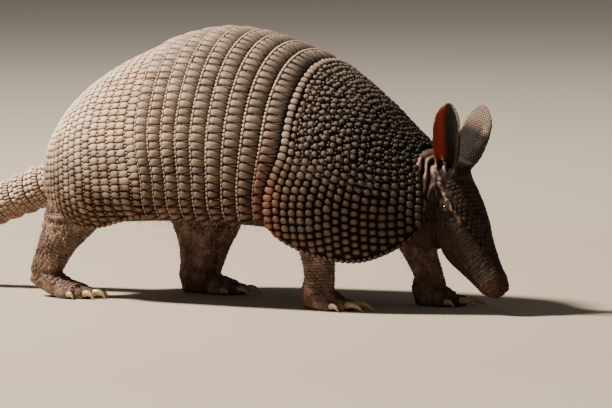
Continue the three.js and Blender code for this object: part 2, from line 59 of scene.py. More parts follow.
# x, top, height of the widest place, bottom of the shell's curve, belly, half width
BODY = [
    [-160, 149, 96, 46, 55, 66],
    [-125, 165, 96, 44, 53, 72],
    [-98, 174, 96, 44, 52, 76],
    [-61, 189, 96, 50, 54, 78],
    [-34, 199, 96, 52, 55, 79],
    [-2, 204, 95, 52, 55, 79],
    [33, 199, 93, 50, 54, 78],
    [61, 190, 90, 42, 52, 77],
    [92, 177, 84, 26, 50, 73],
    [122, 156, 79, 20, 50, 63],
    [144, 137.5, 77, 20, 50, 53],
    [165, 121, 76, 26, 52, 43],
    [188, 101, 75, 40, 54, 36],
]
RUMP_END = -158  # the rump rounds off from its start to its end, towards its height
RUMP_START = -76
RUMP_HEIGHT = 89
RUMP_POWER = 2.1  # how square the rounding is, 2 for an ellipse
UPPER_POWER = 2.15
LOWER_POWER = 3
TAIL_HOLE = -154.6
TRUNK_END = -153
CHEST_END = 158

BANDS = 9
RIM_TOP = (81, 15.6, 0.18)  # first rim, step to the next, and how the steps close up
RIM_SIDE = (81, 16, 0.3)
RIM_LOW = (74.6, 13.6, 0.2)
SHIELD_LOW = 69  # x of the scapular shield's hind edge, low down
SIDE_ANGLE = 62  # angles down from the top of the back
LOW_ANGLE = 97
RIM_RISE = 1.3
COLLAR_TOP = 165
COLLAR_SIDE = 181
COLLAR_ANGLE = 80
# x and height of the shell's lower edge
SKIRT = [
    [-156, 80], [-148, 70], [-135, 61], [-115, 55], [-85, 54], [-60, 60], [-40, 64], [40, 65],
    [60, 66], [67, 66], [76, 54], [92, 44], [112, 37.5], [134, 36], [152, 41.5], [168, 51],
    [178, 61], [183, 68],
]

NECK_PIVOT = np.array([160.0, 0.0, 0.0])
HEAD_YAW = math.radians(-12)
HEAD_TURN = np.array(
    [
        [math.cos(HEAD_YAW), -math.sin(HEAD_YAW), 0],
        [math.sin(HEAD_YAW), math.cos(HEAD_YAW), 0],
        [0, 0, 1],
    ]
)
# station, forward, height, half width, depth to the forehead, depth to the chin
HEAD = [
    [0, 23, 107, 11.5, 10, 12],
    [1, 27, 92, 18, 16, 18],
    [2, 33.7, 78.3, 19.5, 17.5, 22],
    [3, 39.8, 65.5, 19, 18, 24],
    [4, 46, 52.5, 16.5, 17.5, 23.5],
    [5, 54.8, 40.5, 13.5, 14.5, 18.5],
    [6, 63.8, 29.6, 11, 11.6, 14.5],
    [7, 71.5, 21.5, 9.5, 10.2, 12],
    [7.7, 76.9, 16, 7.8, 8, 8.6],
]
HEAD_POWER = 2.2
HEAD_SHIELD = {"start": 0.6, "end": 5.1, "half": 62}
EYE = {"station": 2.2, "angle": 12, "radius": 3.5, "sunk": 1.5}
EAR_LENGTH = 48
EAR_WALL = 2.0
EARS = {
    "right": {
        "base": [32.8, -6.5, 109],
        "lean": [0.175, -0.24, 0.955],
        "opening": [0.2, -1, 0],
        "spread": 0.95,
    },
    "left": {
        "base": [28.6, 4.5, 108.5],
        "lean": [0.24, 0.36, 0.9],
        "opening": [0.2, 1, 0],
        "spread": 1.32,
    },
}
# share of the ear's length, half width, depth of the cup
EAR_SHAPE = [
    [0, 8.6, 6.5], [0.2, 11.4, 7], [0.5, 12.4, 6], [0.75, 11.2, 4.3], [0.9, 7.6, 2.4],
    [1, 2.8, 0.6],
]

# Tubes of flesh: step, x, y, z, half width, depth in front or above, depth behind or below
POLL = [
    [0, 6, 0, 98, 15, 10, 10],
    [1, 20, 0, 101.5, 16, 9.5, 12],
    [2, 30, 0, 100.5, 15, 10.5, 12],
    [3, 37, 0, 94, 11, 8, 10],
]
THROAT = [
    [0, 146, 0, 66, 22, 18, 18],
    [1, 166, -3, 64, 20, 17, 18],
    [2, 182, -7, 60, 15, 15, 14.5],
]
TAIL_ROOT = [
    [0, -144, 0, 88.5, 21, 21, 21],
    [1, -153, 0, 86.2, 19.5, 19.5, 19],
    [2, -161, 0, 83.4, 15, 15.2, 15],
]
NECK = [
    [0, 134, 0, 87, 33, 30, 32],
    [1, 152, 0, 87, 33, 29, 32],
    [2, 171, -1, 87, 31, 31, 33],
    [3, 183, -4, 84, 26, 20, 42],
    [4, 190, -8, 72, 14, 13, 33],
]
TAIL = [
    [0, -152, 0, 87, 15.6, 15.8, 15.6],
    [28, -178, 0, 77.5, 14.8, 15, 14.8],
    [58, -206, 0, 66.5, 13.4, 13.6, 13.4],
    [108, -252, -1, 46, 11.2, 11.2, 11.2],
    [162, -302, -5, 24, 9, 9, 9],
    [214, -351, -14, 8.6, 6.8, 6.8, 6.8],
    [266, -401, -27, 4.4, 4.8, 4.8, 4.8],
    [308, -440, -40, 2.2, 2.6, 2.6, 2.6],
]
TAIL_RINGS = 11
RING_LENGTH = 14.5
RING_GAP = 0.6
RING_FLARE = 0.8
TAIL_POWER = 2
TAIL_HIDE = 0.5  # depth of the tail's hide below the outside of its scales
LEGS = {
    "fore_right": [
        [0, 88, -37, 74, 15, 17, 15],
        [1, 91.5, -36.5, 48, 12.5, 14.5, 13.5],
        [2, 93, -36, 31, 10.5, 12, 11],
        [3, 93.5, -36, 12, 10, 11, 10],
    ],
    "fore_left": [
        [0, 126, 33, 74, 14, 16, 15],
        [1, 136, 34, 47, 11.5, 13.5, 13],
        [2, 143, 35, 30, 10, 11.5, 10.5],
        [3, 150, 35, 12, 9.6, 10.5, 9.6],
    ],
    "hind_right": [
        [0, -108, -36, 84, 17, 28, 28],
        [1, -120, -38, 62, 17, 21, 22],
        [2, -130.5, -41, 42, 13.5, 14, 14.5],
        [3, -141, -42, 21, 10.5, 11.5, 11],
    ],
    "hind_left": [
        [0, -50, 36, 84, 17, 36, 33],
        [1, -49, 37.5, 60, 17, 32, 31],
        [2, -52, 40, 38, 14, 22, 20],
        [3, -56, 41, 15, 11.5, 16, 14.5],
    ],
}
# A foot: sole stations (step, forward, height, half width, up, down) and toes
# (forward, side, turn in degrees, length, radius, length of the claw)
FORE_SOLE = [
    [0, -11, 7, 6.5, 6, 7],
    [1, -4, 8, 11, 8, 8],
    [2, 7, 7, 12.5, 7.5, 7],
    [3, 16, 5.2, 11.5, 5.6, 5.2],
]
FORE_TOES = [
    [10, 9.5, 20, 10, 3.6, 9],
    [13, 3.6, 5, 14, 4.2, 16],
    [13, -3.6, -5, 13, 4.2, 15],
    [9, -9.5, -20, 9, 3.6, 9],
]
HIND_SOLE = [
    [0, -12, 7, 6, 6, 7],
    [1, -3, 8.5, 9.5, 8.5, 8.5],
    [2, 14, 7, 12.5, 7.5, 7],
    [3, 29, 5, 12.5, 5.4, 5],
]
HIND_TOES = [
    [20, 11, 22, 9, 3.5, 7],
    [26, 6.3, 9, 11.5, 4, 10],
    [28, 0, 0, 12.5, 4.2, 11],
    [26, -6.3, -9, 11.5, 4, 10],
    [19, -11, -22, 8.5, 3.5, 7],
]
FOOT_BEND = 25
CLAW_GAP = 0.9
SOLE_POWER = 2.6  # how square they are in section, 2 for an ellipse
TOE_POWER = 2
CLAW_POWER = 1.8
FORE = {"raise": 0, "sole": FORE_SOLE, "toes": FORE_TOES}
HIND = {"sole": HIND_SOLE, "toes": HIND_TOES}
FEET = {
    "fore_right": {"at": [93.5, -36], "turn": -3, **FORE},
    "fore_left": {"at": [148, 35], "turn": 3, **FORE},
    "hind_right": {"at": [-139, -42], "turn": -2, "raise": 11, **HIND},
    "hind_left": {"at": [-57, 41], "turn": 4, "raise": 0, **HIND},
}

# ---------------------------------------------------------------- camera, lights and floor

# Lengths here are in metres and angles in degrees
VIEW_AZIMUTH = 30
VIEW_ELEVATION = 4
VIEW_TARGET = Vector((0.1442, 0.031, 0.0718))
VIEW_DISTANCE = 4.0
VIEW_WIDTH = 0.459  # width of the picture at the target
SENSOR = 36  # the usual film width, in millimetres
LIGHT_TARGET = Vector((0, 0, 0.1))
SURROUND = 0.13  # strength of the even light from all round
FLOOR_HALF = 15  # half the side of the floor, which ends far out of the view


def hex_colour(code):
    """An sRGB hex colour as the linear values that a shader wants."""
    parts = [int(code[i : i + 2], 16) / 255 for i in (1, 3, 5)]
    linear = [p / 12.92 if p <= 0.04045 else ((p + 0.055) / 1.055) ** 2.4 for p in parts]
    return (*linear, 1.0)


def towards(azimuth, elevation):
    """Direction from the model to a viewer; azimuth 0 looks along +Y."""
    a, e = math.radians(azimuth), math.radians(elevation)
    return Vector((math.sin(a) * math.cos(e), -math.cos(a) * math.cos(e), math.sin(e)))


def add_object(name, data):
    thing = bpy.data.objects.new(name, data)
    bpy.context.scene.collection.objects.link(thing)
    return thing


def add_camera():
    data = bpy.data.cameras.new("camera")
    data.sensor_width = SENSOR
    data.lens = SENSOR * VIEW_DISTANCE / VIEW_WIDTH
    camera = add_object("camera", data)
    direction = towards(VIEW_AZIMUTH, VIEW_ELEVATION)
    camera.location = VIEW_TARGET + direction * VIEW_DISTANCE
    camera.rotation_euler = direction.to_track_quat("Z", "Y").to_euler()
    bpy.context.scene.camera = camera


def add_light(name, azimuth, elevation, distance, size, power, colour):
    data = bpy.data.lights.new(name, "AREA")
    data.shape = "DISK"
    data.size = size
    data.energy = power
    data.color = hex_colour(colour)[:3]
    light = add_object(name, data)
    direction = towards(azimuth, elevation)
    light.location = LIGHT_TARGET + direction * distance
    light.rotation_euler = direction.to_track_quat("Z", "Y").to_euler()


def add_studio():
    """A warm key light from behind the rump, a broad weak fill, and a dim even surround."""
    at = {"azimuth": -62, "elevation": 50, "distance": 3.0}
    add_light("key", **at, size=0.45, power=304, colour="#fff0dc")
    at = {"azimuth": 20, "elevation": 25, "distance": 4.0}
    add_light("fill", **at, size=3.0, power=8, colour="#f4ece6")
    world = bpy.data.worlds.new("surround")
    world.use_nodes = True
    surround = world.node_tree.nodes["Background"]
    surround.inputs["Color"].default_value = hex_colour("#efe6dc")
    surround.inputs["Strength"].default_value = SURROUND
    bpy.context.scene.world = world


def add_floor():
    bm = bmesh.new()
    bmesh.ops.create_grid(bm, x_segments=1, y_segments=1, size=FLOOR_HALF)
    mesh = bpy.data.meshes.new("floor")
    bm.to_mesh(mesh)
    bm.free()
    mesh.materials.append(painted_floor())
    add_object("floor", mesh)


# ---------------------------------------------------------------- curves and surfaces


def along(rows, place):
    """A smooth curve through rows whose first number is the place along it."""
    table = np.asarray(rows, float)
    knots, values = table[:, 0], table[:, 1:]
    place = np.clip(np.asarray(place, float), knots[0], knots[-1])
    i = np.clip(np.searchsorted(knots, place, side="right") - 1, 0, len(knots) - 2)
    numbers = np.arange(len(knots))
    before, after = np.maximum(numbers - 1, 0), np.minimum(numbers + 1, len(knots) - 1)
    slopes = (values[after] - values[before]) / (knots[after] - knots[before])[:, None]
    span = (knots[i + 1] - knots[i])[..., None]
    u = (place - knots[i])[..., None] / span
    start = (2 * u**3 - 3 * u**2 + 1) * values[i] + (u**3 - 2 * u**2 + u) * span * slopes[i]
    end = (3 * u**2 - 2 * u**3) * values[i + 1] + (u**3 - u**2) * span * slopes[i + 1]
    return start + end


def matched(*values):
    """Numbers or arrays as arrays of floats, all of one shape."""
    return np.broadcast_arrays(*(np.asarray(value, float) for value in values))


def unit(vectors):
    vectors = np.asarray(vectors, float)
    return vectors / np.maximum(np.linalg.norm(vectors, axis=-1, keepdims=True), 1e-9)


def ease(t):
    """0 up to 0, 1 from 1 on, and a smooth rise between them."""
    t = np.clip(t, 0, 1)
    return t * t * (3 - 2 * t)


def bump(t):
    """1 in the middle, 0 from a distance of 1 on."""
    return ease(1 - np.abs(t))


def rounded(angle, power):
    """Cosine and sine of an angle, made squarer."""
    c, s = np.cos(angle), np.sin(angle)
    return np.sign(c) * np.abs(c) ** (2 / power), np.sign(s) * np.abs(s) ** (2 / power)


def body_point(x, degrees, belly=False):
    """A point of the body at x, at an angle down from the top, positive to the left."""
    x, degrees = matched(x, degrees)
    top, middle, skirt, under, half = np.moveaxis(along(BODY, x), -1, 0)
    t = np.clip((RUMP_START - x) / (RUMP_START - RUMP_END), 0, 0.9999)
    shrink = (1 - t**RUMP_POWER) ** (1 / RUMP_POWER)
    s, c = np.sin(np.radians(degrees)), np.cos(np.radians(degrees))
    centre = RUMP_HEIGHT + (middle - RUMP_HEIGHT) * shrink
    low = under if belly else skirt
    reach = np.where(c > 0, top - middle, middle - low) * shrink
    power = np.where(c > 0, UPPER_POWER, LOWER_POWER)
    across, over = np.abs(s) / (half * shrink), np.abs(c) / reach
    radius = (across**power + over**power) ** (-1 / power)
    return np.stack([x, radius * s, centre + radius * c], -1)


def rim_at(rim, degrees):
    """x of a rim at an angle down from the top; rim 0 is the scapular shield's hind edge."""
    a = np.abs(degrees)

    def place(line):
        first, step, close = line
        return first - step * rim + close * rim * (rim - 1)

    low = SHIELD_LOW if rim == 0 else place(RIM_LOW)
    upper = place(RIM_TOP) + (place(RIM_SIDE) - place(RIM_TOP)) * ease(a / SIDE_ANGLE)
    share = ease((a - SIDE_ANGLE) / (LOW_ANGLE - SIDE_ANGLE))
    lower = place(RIM_SIDE) + (low - place(RIM_SIDE)) * share
    return np.where(a < SIDE_ANGLE, upper, lower)


def collar_at(degrees):
    """x of the scapular shield's front edge."""
    return COLLAR_TOP + (COLLAR_SIDE - COLLAR_TOP) * ease(np.abs(degrees) / COLLAR_ANGLE)


def find_skirt():
    """The angle of the shell's lower edge, for a row of x."""
    x = np.arange(SKIRT[0][0] - 1.0, SKIRT[-1][0] + 2.0)
    edge = along(SKIRT, x)[..., 0]
    low, high = np.full_like(x, 80.0), np.full_like(x, 170.0)
    for _ in range(30):
        middle = (low + high) / 2
        above = body_point(x, middle)[..., 2] > edge
        low, high = np.where(above, middle, low), np.where(above, high, middle)
    return x, low


SKIRT_X, SKIRT_ANGLES = find_skirt()


def skirt_angle(x):
    """The angle from the top down to the shell's lower edge."""
    return np.interp(x, SKIRT_X, SKIRT_ANGLES)


def shell_place(edges, u, v):
    """x and angle of a place on a plate: u from its hind edge forward, v round it."""
    rear, front, share = edges
    u, v = matched(u, v)
    degrees = np.zeros_like(u)
    for _ in range(7):
        x = rear(degrees) + (front(degrees) - rear(degrees)) * share(u)
        degrees = (2 * v - 1) * skirt_angle(x)
    return x, degrees


def even(u):
    """The share of a plate's length at u, for rows of one length."""
    return u


def rump_share(u):
    """The same for the rump, whose rows are shorter towards the tail."""
    return np.clip(u, 0, 1) ** 1.6


SCAPULAR = (lambda a: rim_at(0, a), collar_at, even)
PELVIC = (lambda a: TAIL_HOLE + 0 * a, lambda a: rim_at(BANDS, a) - PLATE_GAP, rump_share)


def band_edges(number):
    return (lambda a: rim_at(number, a), lambda a: rim_at(number - 1, a) - PLATE_GAP, even)


def head_turn(points):
    """From the head's own frame to the body's."""
    return np.asarray(points) @ HEAD_TURN.T + NECK_PIVOT


def head_axis(t):
    """Centre, forward and forehead direction of the head's sections, and their sizes."""
    x, z, half, fore, chin = np.moveaxis(along(HEAD, t), -1, 0)
    ahead = along(HEAD, np.asarray(t) + 0.01) - along(HEAD, np.asarray(t) - 0.01)
    zero = np.zeros_like(x)
    forward = unit(np.stack([ahead[..., 0], zero, ahead[..., 1]], -1))
    over = np.cross(forward, [0, 1, 0])
    return np.stack([x, zero, z], -1), forward, over, half, fore, chin


def head_point(t, degrees, depth=0.0):
    """A point of the head: its station, and the angle up from its left side."""
    t, degrees = matched(t, degrees)
    centre, _, over, half, fore, chin = head_axis(t)
    c, s = rounded(np.radians(degrees), HEAD_POWER)
    a = c * (half - depth)
    b = s * (np.where(s > 0, fore, chin) - depth)
    side = np.stack([np.zeros_like(a), a, np.zeros_like(a)], -1)
    return head_turn(centre + side + over * b[..., None])


def tube_at(rows, t, v, power=2.2):
    """A point of a tube of flesh: its step, and v from 0 to 1 round it, from its left side."""
    t, turn = matched(t, math.tau * np.asarray(v, float))
    x, y, z, half, up, down = np.moveaxis(along(rows, t), -1, 0)
    ahead = (along(rows, t + 0.01) - along(rows, t - 0.01))[..., :3]
    forward = unit(ahead)
    side = unit(np.array([0, 1.0, 0]) - forward * forward[..., 1:2])
    over = np.cross(forward, side)
    c, s = rounded(turn, power)
    a, b = c * half, s * np.where(s > 0, up, down)
    return np.stack([x, y, z], -1) + side * a[..., None] + over * b[..., None]


PROBE = 0.002  # along u and v, for a surface's directions


def lifted(place):
    """The surface place(u, v), u and v from 0 to 1, with a height over it, outwards."""

    def normal(u, v):
        along_u = place(u + PROBE, v) - place(u - PROBE, v)
        return unit(np.cross(along_u, place(u, v + PROBE) - place(u, v - PROBE)))

    u, v = np.meshgrid([0.3, 0.5, 0.7], np.linspace(0.05, 0.95, 7))
    points = place(u, v)
    outward = np.sign(np.sum(normal(u, v) * (points - points.mean(axis=(0, 1)))))

    def surface(u, v, height):
        u, v, height = matched(u, v, height)
        return place(u, v) + normal(u, v) * (outward * height)[..., None]

    return surface


def shell_surface(edges, rise):
    """The outside of a piece of the shell, raised or dipped along its length by rise(u)."""
    flat = lifted(lambda u, v: body_point(*shell_place(edges, u, v)))
    return lambda u, v, height: flat(u, v, rise(np.asarray(u, float)) + height)


def tube_surface(rows, start, end, power):
    return lifted(lambda u, v: tube_at(rows, start + (end - start) * u, v, power))


def ground(surface):
    """The points of a surface, without a height over it."""
    return lambda u, v: surface(u, v, 0)


def at_depth(surface, depth):
    """The surface that lies at a depth below another one."""
    return lambda u, v, height: surface(u, v, height - depth)


# ---------------------------------------------------------------- making meshes


def bent_grid(across, around, place):
    """A flat grid laid onto a surface: place(u, v) gives its points in the body's frame."""
    bm = bmesh.new()
    bmesh.ops.create_grid(bm, x_segments=across, y_segments=around, size=0.5)
    flat = np.array([v.co for v in bm.verts])
    for vert, point in zip(bm.verts, place(flat[:, 0] + 0.5, flat[:, 1] + 0.5)):
        vert.co = point
    return bm


def closed_tube(along_steps, sides, place):
    """A grid rolled into a tube, with its seam welded and both ends closed."""
    bm = bent_grid(along_steps, sides, place)
    bmesh.ops.remove_doubles(bm, verts=bm.verts, dist=0.001)
    rim = [e for e in bm.edges if e.is_boundary]
    bmesh.ops.holes_fill(bm, edges=rim, sides=0)
    bmesh.ops.recalc_face_normals(bm, faces=bm.faces)
    return bm


def to_mesh(name, bm):
    """A bmesh in millimetres in the body's frame as a mesh in metres."""
    bmesh.ops.translate(bm, verts=bm.verts, vec=ORIGIN)
    bmesh.ops.scale(bm, verts=bm.verts, vec=(MM, MM, MM))
    mesh = bpy.data.meshes.new(name)
    bm.to_mesh(mesh)
    bm.free()
    return mesh


def finish_piece(name, bm, material, replaced):
    return finish_mesh(name, to_mesh(name, bm), material, replaced)


def finish_mesh(name, mesh, material, replaced=()):
    """A mesh as a finished piece of the model."""
    piece = add_object(name, mesh)
    mesh.polygons.foreach_set("use_smooth", [True] * len(mesh.polygons))
    mesh.materials.append(material)
    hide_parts(*replaced)
    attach(piece, BODY_NAME)
    return piece


def mark(mesh, key, values):
    """A number for each vertex, which the materials read."""
    attribute = mesh.attributes.new(key, "FLOAT", "POINT")
    attribute.data.foreach_set("value", np.ascontiguousarray(values, np.float32))


def scale_pattern(sides, outline, rings):
    """The pattern of one scale, as long and wide as -1 to 1: its outline at the root, then
    rings up to the crown, each a share of the outline and a height."""
    bm = bmesh.new()
    bmesh.ops.create_circle(bm, cap_ends=True, radius=1, segments=sides)
    for vert in bm.verts:
        x, y = outline(math.atan2(vert.co.y, vert.co.x))
        vert.co = (x, y, rings[0][1])
    middle = sum((v.co for v in bm.verts), Vector()) / sides
    raised = bmesh.ops.extrude_face_region(bm, geom=bm.faces[:], use_keep_orig=True)["geom"]
    top = [f for f in raised if isinstance(f, bmesh.types.BMFace)]
    before = rings[0]
    for ring in rings[1:]:
        if before is not rings[0]:
            bmesh.ops.inset_region(bm, faces=top, thickness=0)
        share = ring[0] / before[0]
        centre = Matrix.Translation(-middle)
        bmesh.ops.scale(bm, verts=top[0].verts, vec=(share, share, 1), space=centre)
        bmesh.ops.translate(bm, verts=top[0].verts, vec=(0, 0, ring[1] - before[1]))
        before = ring
    bmesh.ops.recalc_face_normals(bm, faces=bm.faces)
    points = np.array([v.co for v in bm.verts])
    faces = [[v.index for v in f.verts] for f in bm.faces]
    bm.free()
    return points, faces


# The columns of a spot: where one scale grows, its half length, half width and height, its tone,
# its paleness, and the drift of v along u that keeps it square to its row
AT_U, AT_V, HALF_U, HALF_V, HEIGHT, TONE, PALE, DRIFT = range(8)
SIZES = slice(HALF_U, HEIGHT + 1)
FILL = 0.92  # share of its place that a scale covers
FINE_STEPS = 400  # along a row, for its length


def spots_in_rows(
    place, rows, pitch, start=0.0, end=1.0, closed=False, fill=(FILL, FILL), vary=0.05
):
    """Places for scales in rows across a surface. A row has its u and its length in u; every
    other row is shifted by half a scale."""
    spots = []
    fine = np.linspace(start, end, FINE_STEPS)
    for number, (u, length) in enumerate(rows):
        line = place(np.full(FINE_STEPS, u), fine)
        steps = np.linalg.norm(np.diff(line, axis=0), axis=1)
        travelled = np.concatenate([[0], np.cumsum(steps)])
        whole = travelled[-1]
        step = pitch(u) if callable(pitch) else pitch
        count = max(1, round(whole / step))
        shift = 0.5 * (number % 2)
        share = (np.arange(count if closed or not shift else count - 1) + 0.5 + shift) / count
        where = share * whole + RANDOM.normal(0, 0.03 * step, len(share))
        v = np.interp(where % whole if closed else where, travelled, fine)
        ahead = np.interp(np.clip(where + step / 2, 0, whole), travelled, fine)
        behind = np.interp(np.clip(where - step / 2, 0, whole), travelled, fine)
        size = 1 + RANDOM.normal(0, vary, len(v))
        ahead_u = place(u + PROBE, v) - place(u - PROBE, v)
        ahead_v = place(u, v + PROBE) - place(u, v - PROBE)
        row = np.zeros((len(v), DRIFT + 1))
        row[:, AT_U] = u + RANDOM.normal(0, 0.02 * length, len(v))
        row[:, AT_V] = v
        row[:, HALF_U] = 0.5 * length * fill[0] * size
        row[:, HALF_V] = 0.5 * (ahead - behind) * fill[1] * size
        row[:, HEIGHT] = 0.5 * step * size
        row[:, TONE] = np.clip(RANDOM.normal(0, 0.45, len(v)), -1, 1)
        row[:, DRIFT] = np.sum(ahead_u * ahead_v, -1) / np.sum(ahead_v * ahead_v, -1)
        spots.append(row)
    return np.concatenate(spots)


def even_rows(count, start=0.0, end=1.0):
    length = (end - start) / count
    return [(start + (k + 0.5) * length, length) for k in range(count)]


def scatter(spots, far_u, far_v, share=1):
    """Moves scales at random out of their rows."""
    spots[:, :HALF_U] += share * RANDOM.normal(0, 1, (len(spots), 2)) * (far_u, far_v)


ROOT_PATCH = 0.0012  # half the width of a scale's patch on the unwrapped skin


def grow_scales(name, groups, material):
    """One piece of many scales. A group has its pattern, the surface it grows on, its spots, and
    its box on the unwrapped skin if it isn't the whole: left, bottom, width and height."""
    clouds, loops, totals, values, unwrapped = [], [], [], [], []
    first = 0
    for (points, faces), surface, spots, *box in groups:
        left, low, wide, tall = box[0] if box else (0, 0, 1, 1)
        u, v, half_u, half_v, height, tone, pale, drift = spots.T[:, :, None]
        count, size = len(spots), len(points)
        x, y, z = points.T[:, None, :]
        turned = v + y * half_v - x * half_u * drift
        clouds.append(surface(u + x * half_u, turned, z * height).reshape(-1, 3))
        corners = np.concatenate([np.array(f) for f in faces])
        loops.append((first + corners + size * np.arange(count)[:, None]).ravel())
        totals.append(np.tile([len(f) for f in faces], count))
        crown = np.clip(z / points[:, 2].max(), 0, 1) + 0 * u
        values.append(np.stack([tone + 0 * x, crown, pale + 0 * x], -1).reshape(-1, 3))
        roots = [left + wide * (0.01 + 0.98 * u), low + tall * (0.01 + 0.98 * v)]
        patch = np.stack(roots, -1) + points[None, :, :2] * ROOT_PATCH
        unwrapped.append(patch[:, corners].reshape(-1, 2))
        first += count * size
    clouds = (np.concatenate(clouds) + ORIGIN) * MM
    loops, totals = np.concatenate(loops), np.concatenate(totals)
    values = np.concatenate(values)
    mesh = bpy.data.meshes.new(name)
    mesh.vertices.add(len(clouds))
    mesh.vertices.foreach_set("co", clouds.ravel())
    mesh.loops.add(len(loops))
    mesh.loops.foreach_set("vertex_index", loops)
    mesh.polygons.add(len(totals))
    mesh.polygons.foreach_set("loop_start", np.concatenate([[0], np.cumsum(totals)[:-1]]))
    mesh.update(calc_edges=True)
    for column, key in enumerate(("tone", "crown", "pale")):
        mark(mesh, key, values[:, column])
    unwrap = mesh.uv_layers.new(name="OFBake")
    unwrap.data.foreach_set("uv", np.concatenate(unwrapped).ravel())
    mesh.validate()
    finish_mesh(name, mesh, material)


def squared(power):
    return lambda a: tuple(float(q) for q in rounded(a, power))


def round_outline(a):
    return math.cos(a), math.sin(a)


def rib_outline(a):
    """A band's scale: broad at the hind rim, narrower in front."""
    x, y = squared(3.6)(a)
    return x, y * (0.82 - 0.16 * x)


def wedge_outline(a):
    """The small triangle between two ribs, broad in front."""
    x, y = squared(2.6)(a)
    return 0.32 + 0.68 * x, y * (0.24 + 0.15 * x)


def shield_outline(a):
    """A tail or leg scale: pointed at its free end."""
    x, y = squared(2.6)(a)
    return x + 0.12 * (1 - abs(y)), y * (0.95 - 0.1 * x)


def leaning(pattern, shift, fall):
    """A pattern with its crown moved back, so that it falls away slowly in front."""
    points, faces = pattern
    points[:, 2] -= fall * np.clip(points[:, 0], 0, 1) * (points[:, 2] > -0.1)
    points[:, 0] -= shift * np.clip(points[:, 2] / points[:, 2].max(), 0, 1)
    return points, faces


# Sides, outline, and rings: a share of the outline and a height
PEBBLE = scale_pattern(
    10, round_outline, [(1, -0.5), (1, 0), (0.88, 0.22), (0.6, 0.42), (0.25, 0.5)]
)
BEAD = scale_pattern(6, round_outline, [(1, -0.5), (1, 0.1), (0.65, 0.5)])
BLOCK = scale_pattern(
    12, squared(2.7), [(1, -0.5), (1, 0.02), (0.86, 0.25), (0.55, 0.4), (0.2, 0.44)]
)
RIB = scale_pattern(14, rib_outline, [(1, -0.5), (1, 0), (0.9, 0.22), (0.66, 0.38), (0.3, 0.44)])
RIB = leaning(RIB, 0.2, 0.22)
WEDGE = scale_pattern(8, wedge_outline, [(1, -0.4), (1, 0), (0.6, 0.22)])
HAIR = scale_pattern(3, round_outline, [(1, 0), (0.8, 0.5), (0.12, 1)])
SCALE = scale_pattern(8, squared(2.5), [(1, -0.4), (0.95, 0.08), (0.6, 0.2)])
TILE = scale_pattern(9, squared(2.6), [(1, -0.5), (1, 0), (0.86, 0.16), (0.5, 0.24)])
TAIL_SCALE = scale_pattern(10, shield_outline, [(1, -0.4), (0.97, 0.1), (0.75, 0.28), (0.3, 0.36)])

# ---------------------------------------------------------------- materials

# A mix of two colours: its settings and output, and its sockets for the share of the upper
# colour, the colour under and the colour over it
COLOURS = {"data_type": "RGBA", "output": 2}
SHARE, UNDER, OVER = 0, 6, 7

# Ramps: places from 0 to 1 and their colours
# Along the top: paler at the rump as painted light, near black in front as painted shade
SHELL_TOP_WITH_PAINTED_LIGHT = [
    (0, "#fbf0e4"),
    (0.28, "#dccbbc"),
    (0.5, "#a8978a"),
    (0.68, "#83776d"),
    (0.84, "#302a26"),
    (0.94, "#0e0c0a"),
]
# Down the sides: browner, and darker in front as painted shade
SHELL_SIDE_WITH_PAINTED_SHADE = [
    (0, "#5b3d22"),
    (0.3, "#3f2714"),
    (0.55, "#432817"),
    (0.72, "#342216"),
    (1, "#160f0b"),
]
# painted shade for the grooves, from the rump to the shoulders
GROOVE_SHADE_TONES = [(0, "#a19083"), (1, "#42332a")]
SCALE_TONES = [(0, "#4a3c32"), (0.5, "#808080"), (1, "#d6cdc0")]
HIDE_BROWNS = [(0.28, "#413129"), (0.5, "#6b5347"), (0.72, "#9f8577")]
TAIL_CREAMS = [(0.3, "#cbb3a0"), (0.7, "#eee2d4")]
HEAD_SLATES = [(0.3, "#241c18"), (0.55, "#352a23"), (0.75, "#4a3428")]
EAR_BROWNS = [(0.3, "#18110d"), (0.7, "#2b1f19")]
CLAW_FIBRES = [(0.3, "#7d6548"), (0.7, "#cdb890")]
HAIR_STRAWS = [(0.3, "#b8a288"), (0.7, "#e6dac8")]

MARKS = ("dark", "pale", "ash", "red_and_glow", "fold")  # what the bare hide reads from its mesh
SCALE_GRAIN = 0.9  # the grain of horn, drawn as coarse as it needs to show
HIDE_GRAIN = 0.8
HIDE_CELLS = 1.6  # between the finest creases of the hide


def add(tree, kind, sockets=(), output=0, stops=(), **settings):
    """A node with its settings and links. Sockets go by name or number, or in the node's order;
    stops are a ramp's. It gives one of the node's outputs, or all of them for None."""
    node = tree.nodes.new("ShaderNode" + kind)
    for key, value in settings.items():
        setattr(node, key, value)
    for socket, value in sockets.items() if isinstance(sockets, dict) else enumerate(sockets):
        if isinstance(value, bpy.types.NodeSocket):
            tree.links.new(value, node.inputs[socket])
        else:
            value = hex_colour(value) if isinstance(value, str) else value
            node.inputs[socket].default_value = value
    if stops:
        for _ in stops[2:]:
            node.color_ramp.elements.new(0.5)
        for element, (place, code) in zip(node.color_ramp.elements, stops):
            element.position = place
            element.color = hex_colour(code)
    return node.outputs if output is None else node.outputs[output]


def per_metre(size_mm):
    """The scale of a pattern whose marks are about size_mm across."""
    return 1 / (size_mm * MM)


def start_material(name):
    """A new material, its nodes, and the place on the model."""
    material = bpy.data.materials.new(name)
    material.use_nodes = True
    tree = material.node_tree
    tree.nodes.clear()
    return material, tree, add(tree, "TexCoord", output="Object")


def finish_material(material, sockets, relief=None, strength=0.0, depth_mm=0.0):
    """The material with its shader, and with a relief if it has one."""
    tree = material.node_tree
    if relief is not None:
        raised = {"Height": relief, "Strength": strength, "Distance": depth_mm * MM}
        sockets["Normal"] = add(tree, "Bump", raised)
    add(tree, "OutputMaterial", {"Surface": add(tree, "BsdfPrincipled", sockets)}, None)
    return material


